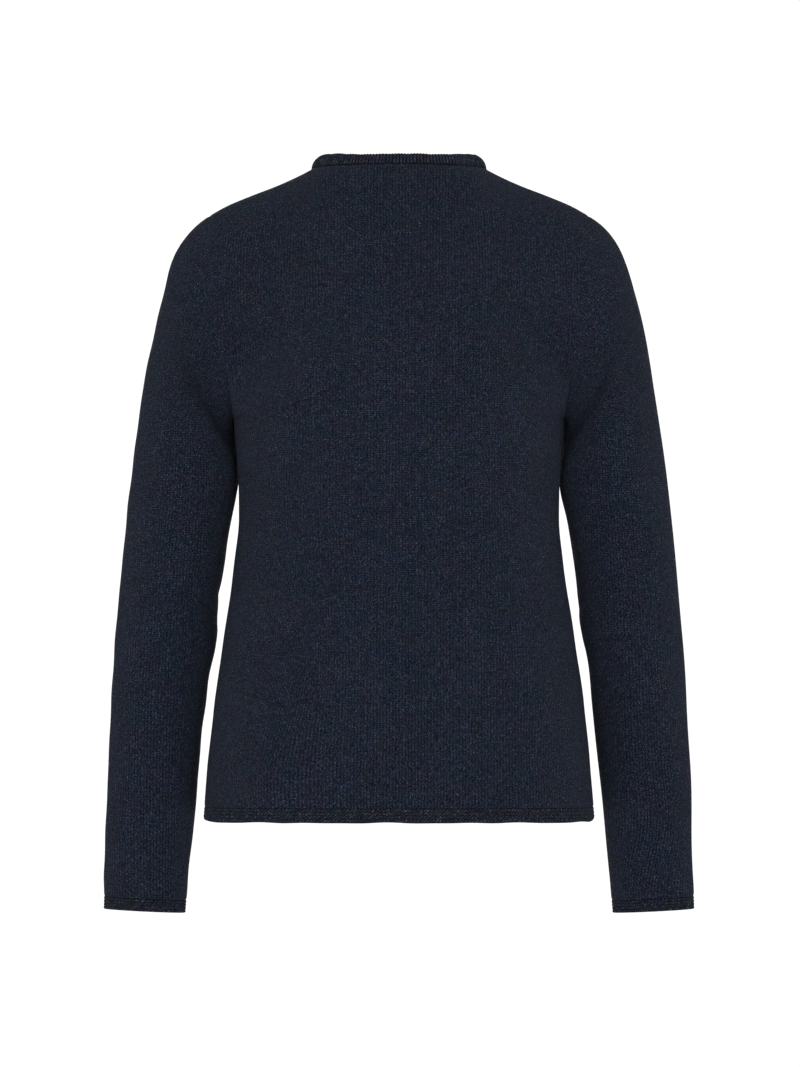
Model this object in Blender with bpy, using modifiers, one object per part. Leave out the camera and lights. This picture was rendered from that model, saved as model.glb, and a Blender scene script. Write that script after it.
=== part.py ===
"""A fine-knit navy cardigan, filled out as if worn and empty inside.

Metres, +Z up. The front faces -Y, and +X is the wearer's left. The origin lies midway
between the two side-neck points, the inner ends of the shoulder seams.

Each panel is a wall of knit. Its outer points are worked out from the tables below. Its
inner points lie one wall thickness inside, along normals that panels share where they
meet, so that seams are mitred. A small gap parts the panels at each seam.
"""

import bmesh
import bpy
import numpy as np
from mathutils import Matrix

# ---- Driving sizes ---------------------------------------------------------------

WALL = 0.002  # thickness of the knit
SEAM_GAP = 0.0003  # between neighbouring pieces
SEAM_SHIFT = 0.54 * SEAM_GAP  # how far each side of a seam draws back

NECK_HALF_WIDTH = 0.0795  # side-neck point, from the middle
BACK_NECK_REACH = 0.062  # back neck seam, behind the shoulder seams
FRONT_NECK_REACH = 0.030  # front of the throat, ahead of the shoulder seams
FRONT_NECK_DROP = 0.075  # front neck seam, below the side-neck points
NECK_ROUNDNESS = 0.75
NECK_MIDDLE_Y = -0.010

UNDERARM_Z = -0.226
ARMHOLE_HALF_DEPTH = 0.058
CHEST_SQUARENESS = 2.3  # exponent of the body's outline seen from above
BACK_FULLNESS = 0.119  # shoulder blades, behind the side seams
FRONT_FULLNESS = 0.127  # chest, ahead of the side seams

# How the form turns from the chest to the shoulders. Zones are shares of the rise from
# the underarm to the top.
CHEST_ZONE = 0.4  # the chest's outline fades out below this
ARMHOLE_ZONE = 0.5  # below this the armhole's edge curves in steeply
EDGE_STEEPNESS = 14.0
NECK_ZONE = 0.6  # above this the form takes up the neck seam's curve
NECK_CURVE_LOW, NECK_CURVE_HIGH = 2.0, 0.5  # exponents of that curve
SHOULDER_ROUNDING = 0.5

BAND_HALF_WIDTH = 0.011  # half the width of the two front bands
NECKBAND_WIDTH = 0.0148
NECKBAND_LEAN = 0.70  # inward share of the neckband's direction, the rest is upward
RIB_PITCH = 0.00216
RIB_HEIGHT = 0.0006
SCALLOP_PITCH = 0.0173  # soft waves along the neckband's top edge
SCALLOP_HEIGHT = 0.0006
SCALLOP_FULLNESS = 0.7
RIB_START = 0.2  # share of the neckband's width where its ribs stand out fully
STRAIGHTENED = 0.035  # width over which the neckband's ends turn to meet the front bands

HEM_Z = -0.5865
HEM_BAND = 0.0128
BODY_CLEARANCE = 0.0014  # of the hanging sleeves from the body's sides
CONTACT_SOFTNESS = 0.0008  # how gently a sleeve flattens beside the body
RIDGES = 4  # raised rows in a hem or cuff band
RIDGE_HEIGHT = 0.0005
EDGE_TURN = 0.0012  # how far a band's free edge rolls inward

BUTTON_COUNT = 7
BUTTON_RADIUS = 0.0065
BUTTON_THICKNESS = 0.0026
TOP_BUTTON_DROP = 0.009  # below the top of the front bands
BOTTOM_BUTTON_Z = -0.548
BUTTON_SIDES = 14
# Half section of a button from its front middle to its back middle: distance from the
# middle and height, as shares of its radius and thickness.
BUTTON_PROFILE = (
    (0.00, 0.62),
    (0.62, 0.64),
    (0.82, 1.00),
    (1.00, 0.66),
    (0.80, 0.00),
    (0.00, 0.00),
)

# Body below the underarm: a row for each level. z is the height; the rest are the
# half width, how far the back and the front stand out from the side seams, and the
# exponent of the outline seen from above.
BODY_COLUMNS = ("z", "half_width", "back", "front", "squareness")
BODY = (
    (-0.2260, 0.1488, 0.1190, 0.1270, 2.30),
    (-0.2574, 0.1462, 0.1175, 0.1265, 2.32),
    (-0.2871, 0.1444, 0.1150, 0.1250, 2.35),
    (-0.3150, 0.1441, 0.1125, 0.1230, 2.37),
    (-0.3520, 0.1475, 0.1105, 0.1215, 2.40),
    (-0.4330, 0.1592, 0.1110, 0.1210, 2.50),
    (-0.4780, 0.1654, 0.1130, 0.1220, 2.58),
    (-0.5230, 0.1703, 0.1155, 0.1235, 2.66),
    (-0.5865, 0.1759, 0.1190, 0.1260, 2.75),
)

# Shoulder seam: height over the distance from the middle.
SHOULDER_COLUMNS = ("x", "z")
SHOULDER = (
    (0.0795, 0.0000),
    (0.0891, -0.0050),
    (0.1098, -0.0144),
    (0.1332, -0.0234),
    (0.1548, -0.0324),
    (0.1710, -0.0414),
)

# Left sleeve: a row for each ring, from the armhole to the cuff's edge. Each ring has
# an outer point, away from the body, an inner point, beside it, a half depth across
# them, and the exponent of the outline of its inner half, which is fuller than an
# ellipse where it lies against the body.
SLEEVE_COLUMNS = (
    "outer_x", "outer_y", "outer_z", "inner_x", "inner_y", "inner_z", "depth", "squareness"
)
SLEEVE = (
    (0.1710, 0.0000, -0.0414, 0.1488, 0.0000, -0.2260, 0.0580, 2.0),
    (0.1830, -0.0025, -0.0502, 0.1490, -0.0050, -0.2292, 0.0574, 2.0),
    (0.1935, -0.0050, -0.0628, 0.1486, -0.0100, -0.2330, 0.0568, 2.0),
    (0.2020, -0.0080, -0.0810, 0.1480, -0.0150, -0.2385, 0.0562, 2.0),
    (0.2112, -0.0110, -0.1080, 0.1470, -0.0200, -0.2455, 0.0556, 2.1),
    (0.2201, -0.0135, -0.1390, 0.1458, -0.0240, -0.2545, 0.0552, 2.3),
    (0.2270, -0.0155, -0.1710, 0.1449, -0.0265, -0.2645, 0.0550, 2.5),
    (0.2324, -0.0170, -0.2040, 0.1446, -0.0280, -0.2760, 0.0548, 2.7),
    (0.2378, -0.0182, -0.2420, 0.1474, -0.0285, -0.2920, 0.0543, 2.7),
    (0.2432, -0.0195, -0.2850, 0.1526, -0.0288, -0.3150, 0.0532, 2.5),
    (0.2481, -0.0212, -0.3300, 0.1575, -0.0292, -0.3490, 0.0514, 2.3),
    (0.2534, -0.0238, -0.3850, 0.1640, -0.0306, -0.3970, 0.0487, 2.1),
    (0.2578, -0.0274, -0.4390, 0.1703, -0.0332, -0.4470, 0.0456, 2.0),
    (0.2615, -0.0325, -0.4950, 0.1772, -0.0375, -0.5010, 0.0421, 2.0),
    (0.2647, -0.0395, -0.5560, 0.1836, -0.0438, -0.5610, 0.0384, 2.0),
    (0.2669, -0.0478, -0.6180, 0.1895, -0.0512, -0.6225, 0.0348, 2.0),
    (0.2679, -0.0533, -0.6556, 0.1930, -0.0560, -0.6594, 0.0328, 2.0),
    (0.2683, -0.0549, -0.6671, 0.1940, -0.0575, -0.6709, 0.0323, 2.0),
)
CUFF_RING = 16  # the ring of the seam between sleeve and cuff band

# Largest soft folds: a row for each. On the body x and z are the place, seen from
# behind or in front; on a sleeve x is the angle round it in degrees, from its outer
# point over the back, and z the height. turn is the fold's direction in degrees from
# level, and depth is outward where positive.
FOLD_COLUMNS = ("piece", "x", "z", "turn", "length", "width", "depth")
FOLDS = (
    ("back", 0.122, -0.500, -52, 0.060, 0.0200, 0.0026),
    ("back", 0.094, -0.475, -45, 0.050, 0.0190, -0.0018),
    ("back", -0.098, -0.165, 38, 0.050, 0.0190, 0.0024),
    ("back", -0.080, -0.208, 32, 0.045, 0.0190, -0.0020),
    ("back", 0.092, -0.205, -40, 0.045, 0.0190, 0.0018),
    ("back", -0.125, -0.480, 58, 0.060, 0.0200, 0.0020),
    ("back", 0.020, -0.345, -8, 0.075, 0.0260, -0.0018),
    ("left_front", 0.085, -0.178, -38, 0.045, 0.0190, 0.0024),
    ("left_front", 0.112, -0.480, 55, 0.060, 0.0200, -0.0022),
    ("right_front", -0.084, -0.190, 36, 0.045, 0.0190, 0.0024),
    ("right_front", -0.118, -0.500, -50, 0.055, 0.0200, 0.0022),
    ("left_sleeve", 115, -0.310, 20, 0.045, 0.0190, -0.0018),
    ("left_sleeve", 150, -0.430, 12, 0.045, 0.0190, 0.0020),
    ("left_sleeve", 235, -0.465, -12, 0.045, 0.0190, -0.0024),
    ("right_sleeve", 110, -0.320, 20, 0.045, 0.0190, -0.0018),
    ("right_sleeve", 145, -0.410, 16, 0.045, 0.0190, 0.0020),
    ("right_sleeve", 230, -0.455, -14, 0.045, 0.0190, -0.0024),
)

# Counts of faces along and across the panels.
NECK_FACES = 7
SHOULDER_FACES = 6
PANEL_FACES = NECK_FACES + SHOULDER_FACES
LOWER_ROWS = 12
ARMHOLE_ROWS = 11
SLEEVE_ROWS = 21
BAND_ROWS = 2 * RIDGES
TURNING_RINGS = 6.0  # rings over which a sleeve's rings turn square to it and level again
NEARBY = 0.010  # how near a sleeve's point is tested against the body
FADE_LINES = 2.0  # lines of points over which folds fade out at a seam
SHARP_ANGLE = 40.0  # degrees between faces that show as an edge
AWAY_FROM_MIDDLE = 0.5  # lean of a tube end's normals away from its middle
FINE = 400  # steps used to measure a curve's length

# name, colour, roughness, metallic
KNIT = ("navy_knit", (0.0139, 0.0174, 0.0273, 1.0), 0.92, 0.0)
BAND_KNIT = ("navy_band_knit", (0.0137, 0.0160, 0.0232, 1.0), 0.94, 0.0)
BUTTON = ("navy_button", (0.0105, 0.0125, 0.0185, 1.0), 0.38, 0.0)

BACK, FRONT = 1, -1


# ---- Curves from the tables ------------------------------------------------------


def smooth_column(rows, columns, key, value, at):
    """The value column over the key column, along a smooth curve that never overshoots."""
    table = np.array(rows, float)
    x = table[:, columns.index(key)]
    y = table[:, columns.index(value)]
    if x[0] > x[-1]:
        x, y = x[::-1], y[::-1]
    return smooth_curve(x, y, at)


def smooth_curve(x, y, at):
    step = np.diff(x)
    slope = np.diff(y) / step
    tangent = np.zeros(len(x))
    tangent[0], tangent[-1] = slope[0], slope[-1]
    same_way = slope[1:] * slope[:-1] > 0
    near = 2 * step[1:] + step[:-1]
    far = step[1:] + 2 * step[:-1]
    with np.errstate(divide="ignore", invalid="ignore"):
        mean = (near + far) / (near / slope[:-1] + far / slope[1:])
    tangent[1:-1] = np.where(same_way, mean, 0.0)
    at = np.clip(at, x[0], x[-1])
    i = np.clip(np.searchsorted(x, at, side="right") - 1, 0, len(x) - 2)
    t = (at - x[i]) / step[i]
    rise = (2 * t**3 - 3 * t**2 + 1) * y[i] + (3 * t**2 - 2 * t**3) * y[i + 1]
    bend = (t**3 - 2 * t**2 + t) * tangent[i] + (t**3 - t**2) * tangent[i + 1]
    return rise + bend * step[i]


def ease(t):
    t = np.clip(t, 0.0, 1.0)
    return t * t * (3 - 2 * t)


def spread_evenly(points, count):
    """count + 1 points spaced evenly along a finely sampled curve."""
    lengths = np.linalg.norm(np.diff(points, axis=0), axis=1)
    along = np.concatenate([[0.0], np.cumsum(lengths)])
    wanted = np.linspace(0.0, along[-1], count + 1)
    return np.stack([np.interp(wanted, along, points[:, k]) for k in range(3)], axis=1)


def unit(vectors):
    lengths = np.linalg.norm(vectors, axis=-1, keepdims=True)
    return vectors / np.maximum(lengths, 1e-12)


# ---- Body form -------------------------------------------------------------------


def body_size(name, z):
    return smooth_column(BODY, BODY_COLUMNS, "z", name, z)


SHOULDER_X = SHOULDER[-1][0]
SHOULDER_Z = SHOULDER[-1][1]
SIDE_X = BODY[0][1]
NECK_SHARE = NECK_HALF_WIDTH / SHOULDER_X


def armhole_half_width(rise):
    """Half width of the body at the armhole, where its edge has risen from the underarm
    (0) to the shoulder point (1). The armhole is an ellipse in a sloping plane."""
    return SIDE_X + (SHOULDER_X - SIDE_X) * rise


def shoulder_height(share):
    """Height of the form's top over the share of the way out to the shoulder point."""
    ridge = smooth_column(SHOULDER, SHOULDER_COLUMNS, "x", "z", share * SHOULDER_X)
    return np.where(share <= NECK_SHARE, 0.0, ridge)


def yoke_depth(side, share, rise):
    """How far the form stands out behind or in front of the shoulder seams, above the
    underarm, at a share of its width and a rise towards its top."""
    neck = np.clip(share / NECK_SHARE, 0.0, 1.0)
    reach = BACK_NECK_REACH if side == BACK else FRONT_NECK_REACH
    near_neck = ease((rise - NECK_ZONE) / (1 - NECK_ZONE))
    neck_curve = NECK_CURVE_LOW + (NECK_CURVE_HIGH - NECK_CURVE_LOW) * near_neck
    top = reach * (1 - neck**2) ** neck_curve
    fullness = BACK_FULLNESS if side == BACK else FRONT_FULLNESS
    rounding = 1.0 - SHOULDER_ROUNDING * ease(neck)
    low = 1 - ease(rise / ARMHOLE_ZONE)
    edge = 2 * ARMHOLE_HALF_DEPTH * np.sqrt(rise / (1 + rise)) * share ** (1 + EDGE_STEEPNESS * low)
    turn = 1.0 + (CHEST_SQUARENESS - 1.0) * (1 - ease(rise / CHEST_ZONE))
    across = np.clip(1 - share**CHEST_SQUARENESS, 0, None) ** (1 / turn)
    full = edge + (fullness - edge) * across
    share_of_full = np.clip(1 - rise**2, 0, None) ** rounding
    return top * (1 - share_of_full) + full * share_of_full


def yoke_points(side, share, rise):
    """Points of the form above the underarm, for the wearer's left half."""
    x = share * armhole_half_width(rise)
    z = UNDERARM_Z + (shoulder_height(share) - UNDERARM_Z) * rise
    return np.stack([x, side * yoke_depth(side, share, rise), z], axis=-1)


def level_row(side, z, start_x, faces):
    """Evenly spaced points along one level of the body, from start_x to the side seam."""
    half_width = body_size("half_width", z)
    depth = body_size("back" if side == BACK else "front", z)
    power = 2 / body_size("squareness", z)
    start = np.arcsin((start_x / half_width) ** (1 / power))
    angle = np.linspace(start, np.pi / 2, FINE)
    x = half_width * np.sin(angle) ** power
    y = depth * np.clip(np.cos(angle), 0, None) ** power
    y[-1] = 0.0
    return spread_evenly(np.stack([x, side * y, np.full(FINE, z)], axis=-1), faces)


def neck_edge_height(side, share):
    if side == BACK:
        return np.zeros_like(share)
    inside = np.clip(1 - (share / NECK_SHARE) ** 2, 0, None)
    return -FRONT_NECK_DROP * inside**NECK_ROUNDNESS


def neck_points(side, share):
    """The neck seam, behind or in front."""
    z = neck_edge_height(side, share)
    rise = 1 - z / UNDERARM_Z
    y = side * yoke_depth(side, share, rise)
    return np.stack([share * SHOULDER_X, y, z], axis=-1)


def spread_over(side, start_x):
    """Where a panel's columns lie between start_x (0) and the side (1): along the level
    of the underarm, and along the top edge, neck seam first and then shoulder seam."""
    low = level_row(side, UNDERARM_Z, start_x, PANEL_FACES)[:, 0]
    low = (low - start_x) / (SIDE_X - start_x)
    bend = np.sin(np.linspace(0, np.pi / 2, FINE))
    fine = (start_x + (NECK_HALF_WIDTH - start_x) * bend) / SHOULDER_X
    neck = spread_evenly(neck_points(side, fine), NECK_FACES)[:, 0]
    neck[-1] = NECK_HALF_WIDTH
    shoulder = np.linspace(NECK_HALF_WIDTH, SHOULDER_X, SHOULDER_FACES + 1)
    high = (np.concatenate([neck, shoulder[1:]]) - start_x) / (SHOULDER_X - start_x)
    return low, high


def armhole_rises():
    return (1 - np.cos(np.linspace(0, np.pi, ARMHOLE_ROWS + 1))) / 2


def half_panel(side, start_x):
    """Rows by columns of outer points, from the hem seam to the top edge and from
    start_x to the side seam and armhole, for the wearer's left half."""
    seam_z = HEM_Z + HEM_BAND
    levels = np.linspace(seam_z, UNDERARM_Z, LOWER_ROWS + 1)
    rows = [level_row(side, z, start_x, PANEL_FACES) for z in levels]
    low, high = spread_over(side, start_x)
    for rise in armhole_rises()[1:]:
        half_width = armhole_half_width(rise)
        x = start_x + (low + (high - low) * rise) * (half_width - start_x)
        share = x / half_width
        share[-1] = 1.0
        on_neck = share < NECK_SHARE - 1e-9
        z_top = np.where(on_neck, neck_edge_height(side, share), shoulder_height(share))
        z = UNDERARM_Z + (z_top - UNDERARM_Z) * rise
        form_rise = (z - UNDERARM_Z) / (shoulder_height(share) - UNDERARM_Z)
        row = yoke_points(side, share, np.clip(form_rise, 0, 1))
        row[0, 0] = start_x
        rows.append(row)
    return np.array(rows)


def hem_rows(side, start_x):
    """Rows of the hem band, from its free edge to the hem seam."""
    levels = np.linspace(HEM_Z, HEM_Z + HEM_BAND, BAND_ROWS + 1)
    return np.array([level_row(side, z, start_x, PANEL_FACES) for z in levels])


def mirrored(grid):
    return grid * np.array([-1.0, 1.0, 1.0])


def turned_round(grid):
    return grid[:, ::-1]


def whole_back(half):
    """Both halves of a back grid, so that columns run from the wearer's left to right."""
    return np.concatenate([turned_round(half), mirrored(half)[:, 1:]], axis=1)


# ---- Sleeve form -----------------------------------------------------------------


def sleeve_ring_table():
    """Smooth columns of the sleeve table, at evenly placed rows of the sleeve and at
    the ridged rows of its cuff band."""
    table = np.array(SLEEVE, float)
    place = np.arange(len(table), dtype=float)
    sleeve = np.linspace(0, CUFF_RING, SLEEVE_ROWS + 1)
    cuff = np.linspace(CUFF_RING, len(table) - 1, BAND_ROWS + 1)
    wanted = np.concatenate([sleeve, cuff[1:]])
    curves = [smooth_curve(place, column, wanted) for column in table.T]
    return dict(zip(SLEEVE_COLUMNS, curves))


def sleeve_rings():
    """Rings of the left sleeve, armhole first, then those of its cuff band. Columns run
    from the outer point over the back and the inner point to the front."""
    table = sleeve_ring_table()
    outer = np.stack([table["outer_x"], table["outer_y"], table["outer_z"]], axis=1)
    inner = np.stack([table["inner_x"], table["inner_y"], table["inner_z"]], axis=1)
    depth = table["depth"][:, None]
    middle = (outer + inner) / 2
    half = (outer - inner) / 2
    axis = unit(np.gradient(middle, axis=0))
    across = unit(np.cross(half, axis))
    across *= np.sign(across[:, 1:2])
    ring = np.arange(len(depth))
    square = ease(ring / TURNING_RINGS) * ease((SLEEVE_ROWS - ring) / TURNING_RINGS)
    square = square[:, None]
    across = unit(np.array([0.0, 1.0, 0.0]) * (1 - square) + across * square)
    towards_outer, towards_back = ring_outline(table["squareness"])
    rings = (
        middle[:, None]
        + half[:, None] * towards_outer[..., None]
        + (across * depth)[:, None] * towards_back[..., None]
    )
    rings[1:] = clear_of_body(rings[1:])
    rings[0] = armhole_ring()
    return rings[: SLEEVE_ROWS + 1], rings[SLEEVE_ROWS:]


def ring_outline(squareness):
    """Places on each ring as shares of its half width and half depth."""
    angle = ring_angles()[None, :]
    inner = np.cos(angle) < 0
    power = np.where(inner, 2 / squareness[:, None], 1.0)
    towards_outer = np.sign(np.cos(angle)) * np.abs(np.cos(angle)) ** power
    towards_back = np.sign(np.sin(angle)) * np.abs(np.sin(angle)) ** power
    return towards_outer, towards_back


def body_side_x(y, z):
    """The body's half width where its side stands y behind the side seams, or ahead of
    them where y is negative, at a height z. Minus infinity inside the armhole."""
    side = BACK if y >= 0 else FRONT
    if z <= UNDERARM_Z:
        power = body_size("squareness", z)
        depth = body_size("back" if side == BACK else "front", z)
        inside = max(1 - (abs(y) / depth) ** power, 0.0)
        return float(body_size("half_width", z) * inside ** (1 / power))
    share = np.linspace(1.0, 0.5, FINE)
    rise = np.clip((z - UNDERARM_Z) / (shoulder_height(share) - UNDERARM_Z), 0, 1)
    depth = np.maximum.accumulate(yoke_depth(side, share, rise))
    if not depth[0] < abs(y) < depth[-1]:
        return -np.inf
    return float(np.interp(abs(y), depth, share * armhole_half_width(rise)))


def clear_of_body(rings):
    """Moves a sleeve's points outward where they would lie in the body's side, so that
    the sleeve flattens softly beside it."""
    cleared = rings.copy()
    for i, j in np.ndindex(rings.shape[:2]):
        x, y, z = rings[i, j]
        gap = x - body_side_x(y, z)
        if gap < NEARBY:
            nearer = BODY_CLEARANCE - gap
            push = (nearer + np.hypot(nearer, CONTACT_SOFTNESS)) / 2
            cleared[i, j, 0] = x + push
    return cleared


def ring_angles():
    steps = 2 * ARMHOLE_ROWS
    return np.linspace(0, 2 * np.pi, steps, endpoint=False)


def armhole_ring():
    """The armhole seam, at the same points as the body panels' edges."""
    angle = ring_angles()
    rise = (1 + np.cos(angle)) / 2
    z = UNDERARM_Z + (SHOULDER_Z - UNDERARM_Z) * rise
    depth = ARMHOLE_HALF_DEPTH * np.sin(angle)
    return np.stack([armhole_half_width(rise), depth, z], axis=-1)


# ---- Soft folds ------------------------------------------------------------------


def fold_height(piece, across, up):
    """Height of the piece's folds over places measured in metres across and up."""
    height = np.zeros_like(across)
    for row in FOLDS:
        fold = dict(zip(FOLD_COLUMNS, row))
        if fold["piece"] != piece:
            continue
        turn = np.radians(fold["turn"])
        x, z = across - fold["x"], up - fold["z"]
        along = x * np.cos(turn) + z * np.sin(turn)
        beside = z * np.cos(turn) - x * np.sin(turn)
        fade = np.exp(-((along / fold["length"]) ** 4) - (beside / fold["width"]) ** 2)
        height += fold["depth"] * fade
    return height


def fade_at_edges(rows, columns, closed):
    """0 at a grid's seams, rising to 1 over the nearest lines of points."""
    down = np.minimum(np.arange(rows), np.arange(rows)[::-1]) / FADE_LINES
    over = np.minimum(np.arange(columns), np.arange(columns)[::-1]) / FADE_LINES
    if closed:
        over = np.full(columns, 1.0)
    return ease(down)[:, None] * ease(over)[None, :]


# ---- Walls -----------------------------------------------------------------------


class Grid:
    """A panel's outer points, rows from low to high. Seen from outside, columns run to
    the right. A closed grid is a tube whose last column meets its first."""

    def __init__(self, name, points, closed=False):
        self.name = name
        self.points = np.array(points, float)
        self.closed = closed
        self.normals = self.own_normals()
        self.through = self.normals.copy()

    def own_normals(self):
        points = self.points
        if self.closed:
            points = np.concatenate([points, points[:, :1]], axis=1)
        a, b = points[:-1, :-1], points[:-1, 1:]
        c, d = points[1:, 1:], points[1:, :-1]
        face = np.cross(c - a, d - b)
        total = np.zeros_like(points)
        for rows, columns in ((slice(0, -1), slice(0, -1)), (slice(0, -1), slice(1, None)),
                              (slice(1, None), slice(1, None)), (slice(1, None), slice(0, -1))):
            total[rows, columns] += face
        if self.closed:
            total[:, 0] += total[:, -1]
            total = total[:, :-1]
        return unit(total)


def share_normals(grids):
    """Averages the normals of points that lie on each other in neighbouring grids. Round
    a tube's end they lean away from its middle as well, which settles them under the
    arm, where body and sleeve are folded together. There each wall keeps its own way
    through, so that it stays thick up to the seam."""
    found = {}
    for grid in grids:
        keys = np.round(grid.points * 1e6).astype(np.int64)
        for i, j in np.ndindex(grid.points.shape[:2]):
            found.setdefault(tuple(keys[i, j]), []).append((grid, i, j))
    for places in found.values():
        if len(places) < 2:
            continue
        total = sum(grid.normals[i, j] for grid, i, j in places)
        for grid, i, j in places:
            if grid.closed:
                ring = grid.points[i]
                along = unit(ring[(j + 1) % len(ring)] - ring[j - 1])
                total = total + AWAY_FROM_MIDDLE * unit(ring[j] - ring.mean(axis=0))
                total = total - np.dot(total, along) * along
        shared = unit(total)
        for grid, i, j in places:
            own = grid.normals[i, j].copy()
            folded = 2 * (1 - np.dot(own, shared))
            grid.through[i, j] = unit(shared + folded * own)
            grid.normals[i, j] = shared


def square_edge(grid, column):
    """Turns the normals of a front edge level with the opening, so its wall ends flat."""
    grid.normals[:, column, 0] = 0.0
    grid.normals[:, column] = unit(grid.normals[:, column])
    grid.through[:, column] = grid.normals[:, column]


def draw_back(grid, sides):
    """Moves the named sides of a grid away from their seams, square to the mitre."""
    points, normals = grid.points, grid.normals
    shift = np.zeros_like(points)
    lines = {
        "low": (np.s_[0, :], 1),
        "high": (np.s_[-1, :], -1),
        "left": (np.s_[:, 0], -1),
        "right": (np.s_[:, -1], 1),
    }
    for side in sides:
        place, way = lines[side]
        line = points[place]
        if grid.closed:
            tangent = np.roll(line, -1, axis=0) - np.roll(line, 1, axis=0)
        else:
            tangent = np.gradient(line, axis=0)
        shift[place] += way * unit(np.cross(normals[place], unit(tangent)))
    return shift * SEAM_SHIFT


def stitch(mesh, fine, coarse, stops):
    """Triangles between a fine line of vertices and a coarse one, which has a vertex
    for each of the fine line's stops."""
    for k, (start, end) in enumerate(zip(stops, stops[1:])):
        part = fine[start : end + 1]
        near, far = coarse[k], coarse[k + 1]
        if part[0].co.z > part[-1].co.z:
            part, near, far = part[::-1], far, near
        turn = (len(part) - 1) // 2
        for i in range(len(part) - 1):
            mesh.faces.new((part[i], part[i + 1], near if i < turn else far))
        mesh.faces.new((part[turn], near, far))


def wall_mesh(outer, inner, row_stops, column_stops, closed):
    """A closed wall between a grid of outer points and a grid of inner points, which
    has a point at each of the outer grid's stops. A closed wall is a tube."""
    mesh = bmesh.new()
    out = [[mesh.verts.new(p) for p in row] for row in outer]
    ins = [[mesh.verts.new(p) for p in row] for row in inner]
    if closed:
        column_stops = [*column_stops, len(out[0])]
        out = [row + row[:1] for row in out]
        ins = [row + row[:1] for row in ins]
    for skin in (out, ins):
        for low, high in zip(skin, skin[1:]):
            for j in range(len(low) - 1):
                mesh.faces.new((low[j], low[j + 1], high[j + 1], high[j]))
    stitch(mesh, out[0], ins[0], column_stops)
    stitch(mesh, out[-1], ins[-1], column_stops)
    if not closed:
        for end in (0, -1):
            stitch(mesh, [row[end] for row in out], [row[end] for row in ins], row_stops)
    bmesh.ops.recalc_face_normals(mesh, faces=mesh.faces)
    return mesh


def add_object(name, mesh, material):
    data = bpy.data.meshes.new(name)
    mesh.to_mesh(data)
    mesh.free()
    data.materials.append(material)
    data.shade_smooth()
    data.set_sharp_from_angle(angle=np.radians(SHARP_ANGLE))
    made = bpy.data.objects.new(name, data)
    bpy.data.collections["cardigan"].objects.link(made)
    return made


def add_panel(grid, sides, material, lift=0.0):
    """A grid as a plain wall, drawn back at its seams and moved out by lift."""
    outer = grid.points + draw_back(grid, sides) + np.asarray(lift)[..., None] * grid.normals
    inner = outer - WALL * grid.through
    rows, columns = (range(count) for count in outer.shape[:2])
    mesh = wall_mesh(outer, inner, rows, columns, grid.closed)
    return add_object(grid.name, mesh, material)


def add_ridged_band(grid, sides, material):
    """A hem or cuff band: a wall with raised rows outside and a plain inside. Its free
    edge, the first row, rolls inward."""
    outer = grid.points + draw_back(grid, sides)
    rows, columns = outer.shape[:2]
    row_stops, column_stops = (0, rows - 1), range(columns)
    inner = (outer - WALL * grid.through)[list(row_stops)]
    height = np.where(np.arange(rows) % 2 == 1, RIDGE_HEIGHT, 0.0)
    height[0] = -0.5 * EDGE_TURN
    outer = outer + height[:, None, None] * grid.normals
    mesh = wall_mesh(outer, inner, row_stops, column_stops, grid.closed)
    return add_object(grid.name, mesh, material)


# ---- Neckband --------------------------------------------------------------------


def neck_seam(back, left, right):
    """The neck seam's points, from the left front band round the back to the right one,
    and the normals there."""
    middle = PANEL_FACES
    pieces = (
        (left.points[-1, : NECK_FACES + 1], left.normals[-1, : NECK_FACES + 1]),
        (back.points[-1, middle - NECK_FACES : middle + NECK_FACES + 1],
         back.normals[-1, middle - NECK_FACES : middle + NECK_FACES + 1]),
        (right.points[-1, -NECK_FACES - 1 :], right.normals[-1, -NECK_FACES - 1 :]),
    )
    points = np.concatenate([pieces[0][0], pieces[1][0][1:], pieces[2][0][1:]])
    normals = np.concatenate([pieces[0][1], pieces[1][1][1:], pieces[2][1][1:]])
    return points, normals


def neckband_direction(points):
    """Unit vectors from the neck seam towards the band's top edge: inward and up, and
    straight up beside the front bands."""
    along = unit(np.gradient(points, axis=0))
    inward = np.cross(np.array([0.0, 0.0, 1.0]), along)
    centre = np.array([0.0, NECK_MIDDLE_Y, 0.0])
    facing = np.sign(np.sum(inward * (centre - points), axis=1, keepdims=True))
    rise = np.sqrt(1 - NECKBAND_LEAN**2)
    aim = unit(inward) * facing * NECKBAND_LEAN + np.array([0.0, 0.0, rise])
    square = unit(aim - np.sum(aim * along, axis=1, keepdims=True) * along)
    square[:, 0] *= 1 - beside_front_bands(points)
    return unit(square)


def beside_front_bands(points):
    """1 at the front bands' edges, falling to 0 round the neck."""
    away = (np.abs(points[:, 0]) - BAND_HALF_WIDTH) / STRAIGHTENED
    return (points[:, 1] < -FRONT_NECK_REACH) * (1 - ease(away))


def along_line(line, places):
    """Points at places, counted in whole steps, along a line of points."""
    steps = np.arange(len(line))
    return np.stack([np.interp(places, steps, line[:, k]) for k in range(3)], axis=1)


def neckband_places(points):
    """Places of rib crests and grooves along the neck seam, counted in its own steps,
    with every point of the seam among them."""
    lengths = np.linalg.norm(np.diff(points, axis=0), axis=1)
    places = [0.0]
    for step, length in enumerate(lengths):
        parts = 2 * max(1, round(length / RIB_PITCH))
        places.extend(step + np.arange(1, parts + 1) / parts)
    return np.array(places)


def scallops(along):
    return SCALLOP_HEIGHT * np.abs(np.sin(np.pi * along / SCALLOP_PITCH)) ** SCALLOP_FULLNESS


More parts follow.
